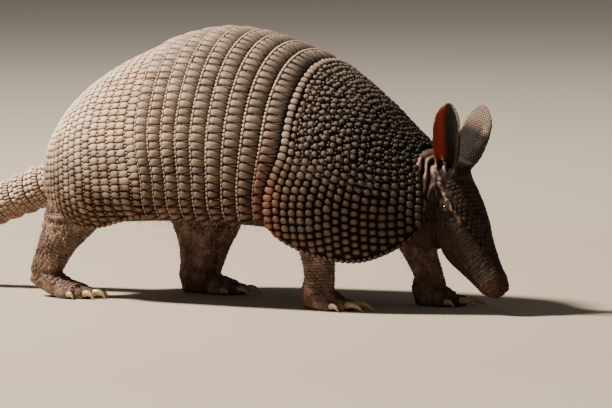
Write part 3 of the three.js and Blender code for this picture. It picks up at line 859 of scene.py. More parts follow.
def shell_colour(tree, place):
    """Beige at the rump, paler there as painted light; slate at the shoulders, near black at
    the front as painted shade; browner and rustier down the sides, with painted shade low down.
    """
    axes = add(tree, "SeparateXYZ", [place], None)
    forward = add(tree, "MapRange", [axes["X"], -0.06, 0.29])
    upper = add(tree, "ValToRGB", [forward], stops=SHELL_TOP_WITH_PAINTED_LIGHT)
    lower = add(tree, "ValToRGB", [forward], stops=SHELL_SIDE_WITH_PAINTED_SHADE)
    patches = add(tree, "TexNoise", {"Vector": place, "Scale": per_metre(18), "Detail": 3})
    wander = add(tree, "MapRange", [patches, 0.3, 0.7, -0.2, 0.2])
    # the lower colour takes over towards the bottom, partly as painted shade
    low = add(tree, "Math", [add(tree, "MapRange", [axes["Z"], 0.13, 0.078]), wander])
    colour = add(tree, "Mix", {SHARE: low, UNDER: upper, OVER: lower}, **COLOURS)
    stains = add(tree, "TexNoise", {"Vector": place, "Scale": per_metre(26), "Detail": 1})
    rust = add(tree, "MapRange", [stains, 0.5, 0.75, 0, 0.22])
    ahead = add(tree, "Math", [axes["X"], 0.172], operation="SUBTRACT")
    apart = add(tree, "Math", [ahead], operation="ABSOLUTE")
    raw = add(tree, "MapRange", [apart, 0.016, 0.004, 0, 0.5])  # on the shoulder shield's hind rim
    for share, code in ((rust, "#7a4630"), (raw, "#8c4a30")):
        share = add(tree, "Math", [share, low], operation="MULTIPLY")
        colour = add(tree, "Mix", {SHARE: share, UNDER: colour, OVER: code}, **COLOURS)
    return colour


def painted_groove_shade(tree, place, colour):
    """Painted shade in the grooves: slight on the pale rump, heavy and dark at the shoulders."""
    forward = add(tree, "MapRange", [add(tree, "SeparateXYZ", [place], "X"), -0.02, 0.16])
    groove_shade = add(tree, "ValToRGB", [forward], stops=GROOVE_SHADE_TONES)
    layers = {SHARE: 1, UNDER: colour, OVER: groove_shade}
    return add(tree, "Mix", layers, blend_type="MULTIPLY", **COLOURS)


def mottled(tree, place, size_mm, stops):
    """Colours that run into one another in blotches of about size_mm."""
    blotches = add(tree, "TexNoise", {"Vector": place, "Scale": per_metre(size_mm), "Detail": 3})
    return add(tree, "ValToRGB", [blotches], stops=stops)


def hide_brown(tree, place):
    """Bare hide: brown in lighter and darker blotches, evenly dark at the neck and head."""
    colour = mottled(tree, place, 10, HIDE_BROWNS)
    forward = add(tree, "MapRange", [add(tree, "SeparateXYZ", [place], "X"), 0.24, 0.3])
    return add(tree, "Mix", {SHARE: forward, UNDER: colour, OVER: "#4b352a"}, **COLOURS)


def tail_cream(tree, place):
    """Cream pink, with painted shade turning it brown where the surface faces down."""
    above = mottled(tree, place, 7, TAIL_CREAMS)
    up = add(tree, "SeparateXYZ", [add(tree, "NewGeometry", output="Normal")], "Z")
    # painted shade on the underside
    painted_underside_shade = add(tree, "MapRange", [up, 0.05, -0.5])
    return add(tree, "Mix", {SHARE: painted_underside_shade, UNDER: above, OVER: "#6f4a33"}, **COLOURS)


def head_slate(tree, place):
    """Dark slate brown with a rusty mottle."""
    return mottled(tree, place, 6, HEAD_SLATES)


def ear_brown(tree, place):
    """Nearly black brown, which the scales near the tip hide under their paleness."""
    return mottled(tree, place, 4, EAR_BROWNS)


def scale_horn(name, colour_of, hollow_shade_colour, worn, gloss, dark):
    """Scales of horn over bone or skin: painted shade darkening their roots, worn paler on the
    crowns.
    """
    material, tree, place = start_material(name)
    keys = ("tone", "crown", "pale")
    tone, crown, pale = [add(tree, "Attribute", output="Fac", attribute_name=key) for key in keys]
    tone = add(tree, "MapRange", [tone, -1, 1])
    varied = {SHARE: 0.45, UNDER: colour_of(tree, place)}
    varied[OVER] = add(tree, "ValToRGB", [tone], stops=SCALE_TONES)
    colour = add(tree, "Mix", varied, blend_type="OVERLAY", **COLOURS)
    pale = add(tree, "Math", [pale, 0.75], operation="MULTIPLY")
    colour = add(tree, "Mix", {SHARE: pale, UNDER: colour, OVER: worn}, **COLOURS)
    grain = add(tree, "TexNoise", {"Vector": place, "Scale": per_metre(SCALE_GRAIN), "Detail": 4})
    crown = add(tree, "Math", [crown, add(tree, "MapRange", [grain, 0.3, 0.7, -0.18, 0.18])])
    # painted shade: the lower a point on a scale, the more of the hollow colour
    hollow_shade_share = add(tree, "MapRange", [crown, 0.55, 0, 0, dark])
    hollow_shade_tone = hollow_shade_colour or painted_groove_shade(tree, place, colour)
    colour = add(tree, "Mix", {SHARE: hollow_shade_share, UNDER: colour, OVER: hollow_shade_tone}, **COLOURS)
    forward = add(tree, "SeparateXYZ", [place], "X")
    unshaded_share = add(tree, "MapRange", [forward, 0.235, 0.28, 1, 0.15])  # the rubbed crowns fade out at the front, as painted shade
    rubbed = add(tree, "MapRange", [crown, 0.7, 1.1, 0, 0.18])
    rubbed = add(tree, "Math", [rubbed, unshaded_share], operation="MULTIPLY")
    blend = "SCREEN" if gloss < 0.4 else "MIX"
    layers = {SHARE: rubbed, UNDER: colour, OVER: worn}
    colour = add(tree, "Mix", layers, blend_type=blend, **COLOURS)
    rough = add(tree, "MapRange", [grain, 0.3, 0.7, gloss, gloss + 0.2])
    sockets = {"Base Color": colour, "Roughness": rough, "IOR": 1.5, "Specular IOR Level": 0.22}
    return finish_material(material, sockets, grain, 0.35, 0.3)


def groove_hide():
    """The hide between the scutes, darkened with painted shade: matt and dark, so every dome reads.
    """
    material, tree, place = start_material("groove_hide")
    colour = painted_groove_shade(tree, place, shell_colour(tree, place))
    grit = add(tree, "TexNoise", {"Vector": place, "Scale": per_metre(1), "Detail": 3})
    sockets = {"Base Color": colour, "Roughness": 0.85, "Specular IOR Level": 0.2}
    return finish_material(material, sockets, grit, 0.5, 0.4)


def bare_hide():
    """Bare, leathery skin: matt and finely creased, with painted shade in its folds and hollows and
    a reddish painted glow of light through the ears.
    """
    material, tree, place = start_material("bare_hide")
    marks = {key: add(tree, "Attribute", output="Fac", attribute_name=key) for key in MARKS}
    fine = add(tree, "TexNoise", {"Vector": place, "Scale": per_metre(HIDE_GRAIN), "Detail": 5})
    cells = {"Vector": place, "Scale": per_metre(HIDE_CELLS)}
    creases = add(tree, "TexVoronoi", cells, "Distance", feature="DISTANCE_TO_EDGE")
    leather = add(tree, "MapRange", [creases, 0, 0.25])
    layers = (
        # the dark mark: painted shade in folds, hollows, ear cups and under the shell, and the
        # head's own darkness
        (marks["dark"], "#1e140f"),
        (marks["pale"], "#b39c91"),
        (marks["ash"], "#8b8275"),
        # a painted glow of light through the ears, and the nose's own reddish tint
        (marks["red_and_glow"], "#861a06"),
        (add(tree, "MapRange", [leather, 0.6, 0, 0, 0.5]), "#2c1d15"),  # painted shade in the finest creases
        (add(tree, "MapRange", [marks["fold"], -0.1, -0.6, 0, 0.75]), "#2a1a13"),  # painted shade between folds
        (add(tree, "MapRange", [marks["fold"], 0.2, 0.9, 0, 0.4]), "#b59a8b"),  # painted highlight on their crests
        (add(tree, "MapRange", [marks["dark"], 1, 1.5, 0, 0.92]), "#070403"),  # near black painted shade in the deepest hollows
    )
    colour = hide_brown(tree, place)
    for share, code in layers:
        colour = add(tree, "Mix", {SHARE: share, UNDER: colour, OVER: code}, **COLOURS)
    sockets = {
        "Base Color": colour,
        "Roughness": 0.65,
        "Specular IOR Level": 0.18,
        "Subsurface Weight": 0.1,
        "Subsurface Radius": (0.003, 0.0012, 0.0008),
    }
    return finish_material(material, sockets, add(tree, "Math", [leather, fine]), 0.5, 0.35)


def claw_horn():
    """Claw horn, grown in long fibres: pale and half glossy, streaked along its length."""
    material, tree, place = start_material("claw_horn")
    stretched = add(tree, "Mapping", {"Vector": place, "Scale": (0.15, 1, 1)})
    fibres = add(tree, "TexNoise", {"Vector": stretched, "Scale": per_metre(0.6), "Detail": 3})
    colour = add(tree, "ValToRGB", [fibres], stops=CLAW_FIBRES)
    sockets = {"Base Color": colour, "Roughness": 0.34, "IOR": 1.54, "Coat Weight": 0.2}
    return finish_material(material, sockets, fibres, 0.3, 0.2)


def wet_eye():
    """The eye: wet and nearly black, so that it shows only its highlight."""
    material, tree, place = start_material("wet_eye")
    depths = add(tree, "TexNoise", {"Vector": place, "Scale": per_metre(2), "Detail": 1})
    glow = add(tree, "MapRange", [depths, 0.3, 0.7])
    colour = add(tree, "Mix", {SHARE: glow, UNDER: "#0e0805", OVER: "#1d110a"}, **COLOURS)
    sockets = {"Base Color": colour, "Roughness": 0.05, "IOR": 1.38}
    return finish_material(material, {**sockets, "Coat Weight": 1, "Coat Roughness": 0.03})


def coarse_hair():
    """Coarse, sparse hairs: straw pale, with a dull gloss."""
    material, tree, place = start_material("coarse_hair")
    colour = mottled(tree, place, 5, HAIR_STRAWS)
    return finish_material(material, {"Base Color": colour, "Roughness": 0.45})


def painted_floor():
    """Matt painted board, warm off-white and plain, paler far off where less light reaches it."""
    material, tree, place = start_material("painted_floor")
    away = add(tree, "VectorMath", {"Vector": place}, "Value", operation="LENGTH")
    far = add(tree, "MapRange", [away, 0.6, 3.5])
    paint = add(tree, "Mix", {SHARE: far, UNDER: "#b8ad9f", OVER: "#f6f1ea"}, **COLOURS)
    return finish_material(material, {"Base Color": paint, "Roughness": 0.9})


# Colour, painted shade round the scales' roots (None for the painted groove shade), worn crowns,
# gloss, and how strong that painted shade is.
# The shell is dull satin; the tail is rubbed smooth, the glossiest; the head is slate dark with
# little shine; the legs are leathery; the cheeks are dry and matt; the ears catch small lights.
SHELL_HORN = scale_horn("shell_horn", shell_colour, None, "#cfb9a7", 0.48, 0.9)
TAIL_HORN = scale_horn("tail_horn", tail_cream, "#8a6652", "#f2e8dc", 0.36, 0.6)
HEAD_HORN = scale_horn("head_horn", head_slate, "#18100c", "#4a4038", 0.55, 0.6)
LEG_HORN = scale_horn("leg_scale_horn", hide_brown, "#2c1d17", "#a89387", 0.5, 0.7)
CHEEK_HORN = scale_horn("cheek_scale_horn", head_slate, "#140d09", "#43342a", 0.74, 0.4)
EAR_HORN = scale_horn("ear_scale_horn", ear_brown, "#120b08", "#a5968b", 0.5, 0.6)
GROOVE = groove_hide()
SKIN = bare_hide()
CLAW = claw_horn()
EYE_WET = wet_eye()
HAIR_STRAW = coarse_hair()

# ---------------------------------------------------------------- the shell

SHELL_AROUND = 150  # faces round the shell's plates
SCUTE_SUNK = 0.8  # roots of the scutes below the shell's outside
BEAD_SUNK = 1.1
SHIELD_ENDS = (0.014, 0.986)  # where a shield's rows of scutes start and end round it
BAND_ENDS = (0.004, 0.996)


def thick_sheet(across, around, place, thickness):
    """A bent sheet whose thickness lies on its hollow side."""
    bm = bent_grid(across, around, place)
    bmesh.ops.recalc_face_normals(bm, faces=bm.faces)
    middle = sum((v.co for v in bm.verts), Vector()) / len(bm.verts)
    if sum(f.normal.dot(f.calc_center_median() - middle) for f in bm.faces) < 0:
        bmesh.ops.reverse_faces(bm, faces=bm.faces)
    bmesh.ops.solidify(bm, geom=bm.faces[:], thickness=thickness)
    bm.normal_update()
    return bm


def make_plate(name, surface, across, replaced, thickness=PLATE - GROOVE_DEPTH):
    """The plate that carries the scutes, with soft rims."""
    bm = thick_sheet(across, SHELL_AROUND, ground(at_depth(surface, GROOVE_DEPTH)), thickness)
    rims = [e for e in bm.edges if len(e.link_faces) == 2 and e.calc_face_angle(0) > 0.9]
    bmesh.ops.bevel(bm, geom=rims, offset=0.5, segments=2, affect="EDGES", profile=0.5, material=-1)
    finish_piece(name, bm, GROOVE, [replaced])


def bead_spots(place, rows, pitch, size_mm):
    """Small beads where the rows of scutes meet, two to a scute."""
    lines = [(row[0] + row[1] / 2, row[1]) for row in rows[:-1]]
    spots = spots_in_rows(place, lines, pitch / 2, *SHIELD_ENDS)
    share = size_mm / pitch
    spots[:, HALF_U] *= share / FILL
    spots[:, HALF_V] *= 2 * share / FILL
    spots[:, HEIGHT] = size_mm / 2
    return spots


def rim_spots(count, half_u, half_v, height):
    """A row of scutes along each of a plate's lower edges."""
    u, ones = (np.arange(count) + 0.5) / count, np.ones(count)
    sides = []
    for v in (half_v, 1 - half_v):
        tone = RANDOM.uniform(-0.5, 0.5, count)
        sizes = [half_u * ones, half_v * ones, height * ones]
        sides.append(np.stack([u, v * ones, *sizes, tone, 0 * ones, 0 * ones], -1))
    return np.concatenate(sides)


def make_scapular_shield():
    """Pebbles over the top, blocks down the sides and round the rims, beads between them."""
    pitch = 5.7
    surface = shell_surface(SCAPULAR, lambda u: RIM_RISE * np.clip(1 - 6 * u, 0, 1))
    place, sunk = ground(surface), at_depth(surface, SCUTE_SUNK)
    make_plate("scapular_plate", surface, 60, "scapular_shield")
    rows = even_rows(17, 0.062, 1.0)
    scutes = spots_in_rows(place, rows, pitch, *SHIELD_ENDS, fill=(0.93, 0.94), vary=0.06)
    from_top = np.abs(scutes[:, AT_V] - 0.5)
    domed = from_top + RANDOM.normal(0, 0.03, len(scutes)) < 0.27
    pebbly = ease((0.33 - from_top) / 0.12)[:, None]
    scutes[:, SIZES] *= 1 - pebbly * (0.13, 0.13, 0.2)
    scatter(scutes, 0.006, 0.0016, pebbly)
    edge = spots_in_rows(place, [(0.03, 0.064)], 5.4, 0.006, 0.994, fill=(0.96, 0.93))
    edge[:, PALE] = 0.45 - 0.4 * ease((np.abs(edge[:, AT_V] - 0.5) - 0.22) / 0.12)
    beads = bead_spots(place, rows, pitch, 2.4)
    beads = beads[np.abs(beads[:, AT_V] - 0.5) < 0.3]
    scatter(beads, 0.005, 0.0016)
    groups = [
        (PEBBLE, sunk, scutes[domed]),
        (BLOCK, sunk, scutes[~domed]),
        (BLOCK, sunk, edge),
        (BLOCK, sunk, rim_spots(28, 0.0168, 0.0078, 2.4)),
    ]
    grow_scales("scapular_scutes", groups, SHELL_HORN)
    low = at_depth(surface, BEAD_SUNK)
    grow_scales("scapular_beads", [(BEAD, low, beads)], SHELL_HORN)


def make_pelvic_shield():
    """Blocks in rows with beads between them; the front rises over the last band's plate."""
    pitch = 5.3
    surface = shell_surface(PELVIC, lambda u: 0.7 * np.clip((u - 0.75) / 0.25, 0, 1))
    place, sunk = ground(surface), at_depth(surface, SCUTE_SUNK)
    make_plate("pelvic_plate", surface, 64, "pelvic_shield")
    rows = even_rows(20)
    scutes = spots_in_rows(place, rows, pitch, *SHIELD_ENDS, fill=(0.88, 0.9), vary=0.06)
    scutes[:, HEIGHT] *= 0.9
    beads = bead_spots(place, rows, pitch, 1.7)
    groups = [(BLOCK, sunk, scutes), (BLOCK, sunk, rim_spots(30, 0.0155, 0.0078, 2.4))]
    grow_scales("pelvic_scutes", groups, SHELL_HORN)
    low = at_depth(surface, BEAD_SUNK)
    grow_scales("pelvic_beads", [(BEAD, low, beads)], SHELL_HORN)


def band_rise(u):
    """A band is rolled: full behind, falling away in front to pass under the next rim."""
    u = np.clip(u, 0, 1)
    roll = 1.3 + 0.5 * np.sin(math.pi * np.minimum(u / 0.5, 1))
    return roll - 4.6 * np.clip((u - 0.3) / 0.7, 0, 1) ** 2


def make_bands():
    """Each band has long ribs, small wedges between their front ends, and a beaded hind rim."""

    def plate_rise(u):
        return band_rise(u) + 0.5 + 0.4 * np.clip(1 - u / 0.5, 0, 1)

    for number in range(1, BANDS + 1):
        edges = band_edges(number)
        surface = shell_surface(edges, band_rise)
        place, sunk = ground(surface), at_depth(surface, 0.55)
        under = shell_surface(edges, plate_rise)
        make_plate(f"band_{number}_plate", under, 14, f"band_{number}", 1.2)
        ribs = spots_in_rows(place, [(0.55, 0.88)], 6.1, *BAND_ENDS, fill=(0.98, 0.97))
        on_top = ease((0.3 - np.abs(ribs[:, AT_V] - 0.5)) / 0.14)
        ribs[:, HEIGHT] = 2.5 - 0.7 * on_top
        wedges = ribs[:-1].copy()
        wedges[:, AT_V] += wedges[:, HALF_V] / 0.96
        wedges[:, HEIGHT] = 2.0 - 0.4 * on_top[:-1]
        beads = spots_in_rows(place, [(0.045, 0.19)], 3.05, *BAND_ENDS, fill=(0.95, 1.0))
        # painted highlight: pale hind rims along each rolled edge, fading down the sides
        beads[:, PALE] = 0.9 - 0.7 * ease((np.abs(beads[:, AT_V] - 0.5) - 0.24) / 0.14)
        beads[:, HEIGHT] = 2.3
        groups = [(RIB, sunk, ribs), (WEDGE, sunk, wedges), (BEAD, sunk, beads)]
        grow_scales(f"band_{number}_scutes", groups, SHELL_HORN)


# ---------------------------------------------------------------- the flesh

SKIN_VOXEL = 1.0  # size of the faces of the welded flesh
SKIN_FACES = 84000  # faces left when the hidden ones have been thinned out
COVERED = 66  # the height from which the shell hides the trunk
LEG_TOP = 72  # the height from which a leg is out of sight
NECK_START = 150  # x from which the neck and head come into sight


def foot_frame(name):
    """From a foot's own frame to the body's."""
    foot = FEET[name]
    turn = math.radians(foot["turn"])
    c, s = math.cos(turn), math.sin(turn)

    def stand(points):
        x = foot["at"][0] + points[..., 0] * c - points[..., 1] * s
        y = foot["at"][1] + points[..., 0] * s + points[..., 1] * c
        return np.stack([x, y, np.maximum(points[..., 2], 0)], -1)

    return stand


def sole_rows(name):
    foot = FEET[name]
    heel = foot["sole"][0][1]

    def lift(forward):
        return foot["raise"] * max(0, min(1, 1 - (forward - heel) / FOOT_BEND)) ** 1.2

    rows = foot["sole"]
    return [[t, x, 0, z + lift(x), half, up, down + 0.8] for t, x, z, half, up, down in rows]


def toe_rows(x, y, turn, length, radius):
    """A toe from inside the foot to its tip, with a swelling at its joint."""
    c, s = math.cos(math.radians(turn)), math.sin(math.radians(turn))
    rows = []
    for step, share, height, half, up, down in (
        (0, -0.4, 1, 1, 1, 1.1),
        (1, 0.5, 0.95, 0.95, 1.1, 1.1),
        (2, 1, 0.9, 0.62, 0.8, 0.95),
    ):
        place = length * share
        sizes = [radius * q for q in (height, half, up, down)]
        rows.append([step, x + place * c, y + place * s, *sizes])
    return rows


def limb_parts(name):
    """A limb with its sole and toes, as closed tubes in the body's frame."""
    stand = foot_frame(name)
    rows, sole = LEGS[name], sole_rows(name)
    shin, heel = along(rows, 2.5), stand(np.array(along(sole, 0.6)[:3]))
    ankle = [[0, *shin], [1, *heel, 9.5, 8.5, 8.5]]
    parts = [
        closed_tube(30, 36, lambda u, v: tube_at(rows, 3 * u, v)),
        closed_tube(20, 28, lambda u, v: stand(tube_at(sole, 3 * u, v, SOLE_POWER))),
        closed_tube(14, 28, lambda u, v: tube_at(ankle, u, v)),
    ]
    for toe in FEET[name]["toes"]:
        digit = toe_rows(*toe[:5])
        parts.append(closed_tube(12, 16, lambda u, v: stand(tube_at(digit, 2 * u, v, TOE_POWER))))
    return parts


def ear_axes(side):
    ear = EARS[side]
    lean = unit(ear["lean"])
    opening = np.array(ear["opening"], float)
    opening = unit(opening - lean * np.dot(opening, lean))
    return np.array(ear["base"], float), lean, opening, np.cross(lean, opening)


def ear_point(side, u, v):
    """A point of an ear's back: u up its length, v round it."""
    base, lean, opening, across = ear_axes(side)
    u, v = matched(u, v)
    half, cup = np.moveaxis(along(EAR_SHAPE, u), -1, 0)
    half = half * EARS[side]["spread"]
    turn = (2 * v - 1) * math.pi / 2
    rise = EAR_LENGTH * np.where(u < 0.001, -0.1, u)
    width, bend = half * np.sin(turn), cup * (1 - np.cos(turn))
    point = base + lean * rise[..., None] + across * width[..., None] + opening * bend[..., None]
    return head_turn(point)


def ear_part(side):
    """An ear, as a cupped sheet given its thickness."""
    bm = bent_grid(44, 30, lambda u, v: ear_point(side, u, v))
    bmesh.ops.recalc_face_normals(bm, faces=bm.faces)
    inward = Vector(head_turn(ear_axes(side)[2]) - head_turn(np.zeros(3)))
    if sum(f.normal.dot(inward) for f in bm.faces) > 0:
        bmesh.ops.reverse_faces(bm, faces=bm.faces)
    bmesh.ops.solidify(bm, geom=bm.faces[:], thickness=EAR_WALL)
    bmesh.ops.recalc_face_normals(bm, faces=bm.faces)
    return bm


def trunk_part():
    def outside(u, v):
        x = CHEST_END + (TRUNK_END - CHEST_END) * np.sin(np.clip(u, 0, 1) * math.pi / 2)
        return body_point(x, 360 * v - 180, True)

    return closed_tube(64, 80, ground(at_depth(lifted(outside), FLESH)))


def joined(parts):
    """Several closed pieces in one mesh, in metres."""
    whole = bmesh.new()
    for part in parts:
        mesh = bpy.data.meshes.new("part")
        part.to_mesh(mesh)
        part.free()
        whole.from_mesh(mesh)
        bpy.data.meshes.remove(mesh)
    return to_mesh("flesh", whole)


def with_modifiers(mesh, weights=None, **modifiers):
    """The mesh that a row of modifiers makes of a mesh; weights are a vertex group."""
    bench = add_object("bench", mesh)
    if weights is not None:
        group = bench.vertex_groups.new(name="spare")
        for number, weight in enumerate(weights):
            if weight > 0:
                group.add([number], weight, "REPLACE")
    for kind, settings in modifiers.items():
        modifier = bench.modifiers.new(kind, kind)
        for key, value in settings.items():
            setattr(modifier, key, value)
    shaped = bench.evaluated_get(bpy.context.evaluated_depsgraph_get())
    made = bpy.data.meshes.new_from_object(shaped)
    bpy.data.objects.remove(bench)
    bpy.data.meshes.remove(mesh)
    return made


def rows_of(mesh, key):
    flat = np.empty(len(mesh.vertices) * 3)
    mesh.vertices.foreach_get(key, flat)
    return flat.reshape(-1, 3)


def points_of(mesh):
    """The mesh's vertices in millimetres in the body's frame."""
    return rows_of(mesh, "co") / MM - ORIGIN


def grounded(points):
    """Nothing goes below the ground."""
    points[..., 2] = np.maximum(points[..., 2], GROUND)
    return points


def move_to(mesh, points):
    mesh.vertices.foreach_set("co", ((points + ORIGIN) * MM).ravel())
    mesh.update()


def wave(points, size_mm, seed=0):
    """Smooth noise between -1 and 1 with lumps of about size_mm."""
    shifted = points / size_mm + seed * 17.3
    return np.array([noise.noise(Vector(p)) for p in shifted]) * 1.6


def axis_chart(points, centres, forwards, knots):
    """Where points lie along a line of centres, and their offset from it."""
    gaps = points[:, None, :] - centres[None]
    nearest = np.argmin(np.einsum("nkc,nkc->nk", gaps, gaps), axis=1)
    gap = gaps[np.arange(len(points)), nearest]
    speed = np.linalg.norm(np.gradient(centres, knots, axis=0), axis=1)[nearest]
    forward = forwards[nearest]
    shift = np.einsum("nc,nc->n", gap, forward)
    place = np.clip(knots[nearest] + shift / speed, knots[0], knots[-1])
    return place, gap - forward * shift[:, None], nearest


def head_chart(points):
    """Station on the head, and offset to its left side and towards its forehead."""
    knots = np.linspace(0, HEAD[-1][0], 150)
    centre, forward, over, *_ = head_axis(knots)
    local = (points - NECK_PIVOT) @ HEAD_TURN
    station, offset, nearest = axis_chart(local, centre, forward, knots)
    return station, offset[:, 1], np.einsum("nc,nc->n", offset, over[nearest])


def shield_half(station):
    """Half the angle that the head's shield spans; it narrows down the snout."""
    share = (station - HEAD_SHIELD["start"]) / (HEAD_SHIELD["end"] - HEAD_SHIELD["start"])
    return HEAD_SHIELD["half"] * (1 - 0.5 * np.clip(share, 0, 1) ** 2)


def eye_frame(side):
    """Centre of an eye, and its outward, forward and upward directions; side is -1 or 1."""
    degrees = EYE["angle"] if side > 0 else 180 - EYE["angle"]
    centre = head_point(EYE["station"], degrees, EYE["sunk"])
    out = unit(head_point(EYE["station"], degrees) - centre)
    ahead = head_point(EYE["station"] + 0.2, degrees) - head_point(EYE["station"] - 0.2, degrees)
    ahead = unit(ahead - out * np.dot(ahead, out))
    up = np.cross(out, ahead)
    top = head_point(EYE["station"], 90) - centre
    return centre, out, ahead, up * np.sign(np.dot(up, top))


def shape_eye(points, side):
    """Lids that lie on the eyeball round an almond-shaped slit, with a crease behind them."""
    centre, out, ahead, up = eye_frame(side)
    gap = points - centre
    a, b, h = gap @ ahead, gap @ up, gap @ out
    radius = EYE["radius"]
    apart = np.hypot(a, b)
    near = (apart < 11) & (h > -4)
    slit = np.hypot(a / 3.0, b / 1.9)
    ball = np.sqrt(np.maximum((radius + 0.75) ** 2 - apart**2, 0))
    lid = np.where(apart < radius + 0.4, ball, h)
    cover = ease((radius + 1.6 - apart) / 1.6)
    lidded = h * (1 - cover) + np.maximum(lid, 0.2) * cover
    above = 0.45 + 0.55 * np.clip((b + 0.3 * a) / np.maximum(apart, 1), -1, 1)
    wrinkled = above * (0.8 + 0.5 * wave(points, 2.6, 3)) * near
    brow = np.hypot(a / 1.35, b)
    lidded += 0.35 * bump((apart - 4.9) / 1.3)
    ridges = 0.6 * bump((brow - 5.2) / 1.2) - 0.9 * bump((brow - 6.4) / 1.0)
    lidded += wrinkled * (ridges + 0.6 * bump((brow - 7.6) / 1.2))
    inside = ease((1.12 - slit) / 0.24)
    ball_low = np.sqrt(np.maximum(radius**2 - apart**2, 0)) - 1.4
    target = lidded * (1 - inside) + ball_low * inside
    moved = np.where(near, target - h, 0)
    crease = 0.8 * wrinkled * bump((brow - 6.4) / 1.3) + 0.7 * bump((slit - 1.12) / 0.3)
    return points + out * moved[:, None], -crease * near


def sculpt_head(points):
    """Where the head is, the heights of its folds, and its markings."""
    station, side, fore = head_chart(points)
    _, _, _, half, front, chin = head_axis(station)
    across, over = side / half, fore / np.where(fore > 0, front, chin)
    angle = np.degrees(np.arctan2(over, np.abs(across)))
    size = np.hypot(across, over)
    on_head = ease((1.35 - size) / 0.2) * ease((station - 0.2) / 0.4)
    rough = wave(points, 3.2, 1)
    coarse = wave(points, 7, 2)
    # fine folds across the snout
    snout = ease((station - 4.4) / 1.2) * ease((angle + 35) / 30)
    rings = np.sin(math.tau * (station * 4.2 + 0.35 * coarse)) * (0.6 + 0.4 * rough)
    height = 0.26 * rings * snout
    # the rumpled fold along the edge of the head's shield
    beside = (90 - angle) - shield_half(station)
    fold = bump((beside - 6) / 9) * ease((station - 0.5) / 0.3) * ease((3.5 - station) / 0.6)
    rumples = np.sin(math.tau * (station * 2.4 + beside * 0.06 + 0.9 * coarse))
    height += fold * (0.9 + 0.45 * rumples + 0.35 * rough)
    height -= 0.8 * bump((beside - 13) / 5) * ease((3.4 - station) / 0.6)
    # mouth, from under the nose to below the eye
    line = -31 - 4 * (station - 5.5)
    mouth = bump((angle - line) / 8) * ease((station - 4.0) / 0.5) * ease((7.45 - station) / 0.2)
    height -= 1.0 * mouth
    height += 0.35 * bump((angle - line - 13) / 9) * ease((station - 4.2) / 0.5)
    # slack cheek and throat
    cheek = ease((25 - angle) / 20) * ease((3.9 - station) / 1.2)
    height += cheek * 0.35 * np.sin(math.tau * (angle / 14 + 0.5 * coarse + station * 0.6))
    height += 0.15 * rough
    # swollen nose pad
    height -= 1.5 * ease((station - 6.7) / 0.9)
    height += 0.5 * bump((station - 7.35) / 0.3) * ease((angle + 60) / 40)
    marks = {
        # darker head and snout: their own colour, deepened with painted shade
        "dark": 0.88 * ease((8.4 - station) / 3),
        "ash": 0.85 * fold * np.clip(0.55 + 0.9 * rough, 0, 1) * ease((2.9 - station) / 1.5),
        "red_and_glow": 0.22 * ease((station - 6.6) / 0.8),
    }
    return on_head, height, {key: value * on_head for key, value in marks.items()}


def pit_nostrils(points):
    """Two slanted nostrils in the front of the nose pad."""
    centre, forward, over = (rows[0] for rows in head_axis(np.array([7.55]))[:3])
    moved = np.zeros_like(points)
    depth = np.zeros(len(points))
    for side in (-1, 1):
        spot = head_turn(centre + np.array([0, side * 3.9, 0]) + over * 2.2 + forward * 1.5)
        facing = forward * 0.8 + np.array([0, side * 0.62, 0]) + over * 0.1
        facing = unit(head_turn(facing) - NECK_PIVOT)
        gap = points - spot
        slant = np.cross(facing, head_turn(over) - NECK_PIVOT)
        a, b = gap @ slant, gap @ unit(np.cross(facing, slant))
        near = np.abs(gap @ facing) < 5
        apart = np.hypot(a / 2.0, b / 1.3)
        hole = bump(apart) * near
        lip = bump((apart - 1.25) / 0.5) * near
        moved += facing * (0.45 * lip - 2.6 * hole)[:, None]
        depth += hole
    return points + moved, -depth


def sculpt_neck(points):
    """Soft folds that ring the neck between the shell and the head: where they are, their
    heights, and a painted highlight on their crests and painted shade in their valleys."""
    x, z = points[:, 0], points[:, 2]
    on_neck = ease((x - 160) / 6) * ease((196 - x) / 8) * ease((z - 64) / 14)
    on_neck *= ease((118 - z) / 8)
    coarse = wave(points, 9, 5)
    rings = np.sin(math.tau * (x / 6.2 + 0.3 * np.sin(z / 9) + 0.45 * coarse))
    wrinkled = wave(points, 3.5, 6)
    pale = ease((rings - 0.1) / 0.8) * (0.66 + 0.34 * wrinkled)
    return on_neck, 1.15 * rings + 0.35 * wrinkled, pale, 1.2 * ease((0.45 - rings) / 0.8)


def sculpt_limbs(points):
    """Folds round the joints of the legs, and loose skin on the thighs."""
    z = points[:, 2]
    height = np.zeros(len(points))
    for name, rows in LEGS.items():
        hind = name.startswith("hind")
        knots = np.linspace(0, 3, 60)
        centres = along(rows, knots)[:, :3]
        forwards = unit(np.gradient(centres, knots, axis=0))
        _, offset, _ = axis_chart(points, centres, forwards, knots)
        mine = ease((30 - np.linalg.norm(offset, axis=1)) / 6) * (z < LEG_TOP)
        on = mine > 0
        rings, loose = np.zeros(len(points)), np.zeros(len(points))
        rings[on] = np.sin(math.tau * (z[on] / 6.5 + 0.7 * wave(points[on], 8, 7)))
        slow = wave(points[on], 18, 9)
        loose[on] = np.sin(math.tau * (z[on] / 7.5 + points[on][:, 0] / 70 + 0.3 * slow))
        loose[on] *= 0.45 + 0.55 * wave(points[on], 11, 4)
        high = ease((z - (36 if hind else 30)) / 20)
        wrist = bump((z - 14) / 10)
        thigh = bump((z - 61) / 15) if hind else 0 * z
        height += mine * (rings * (0.75 * high * (1 - thigh) + 0.45 * wrist) + 1.5 * loose * thigh)
    return height


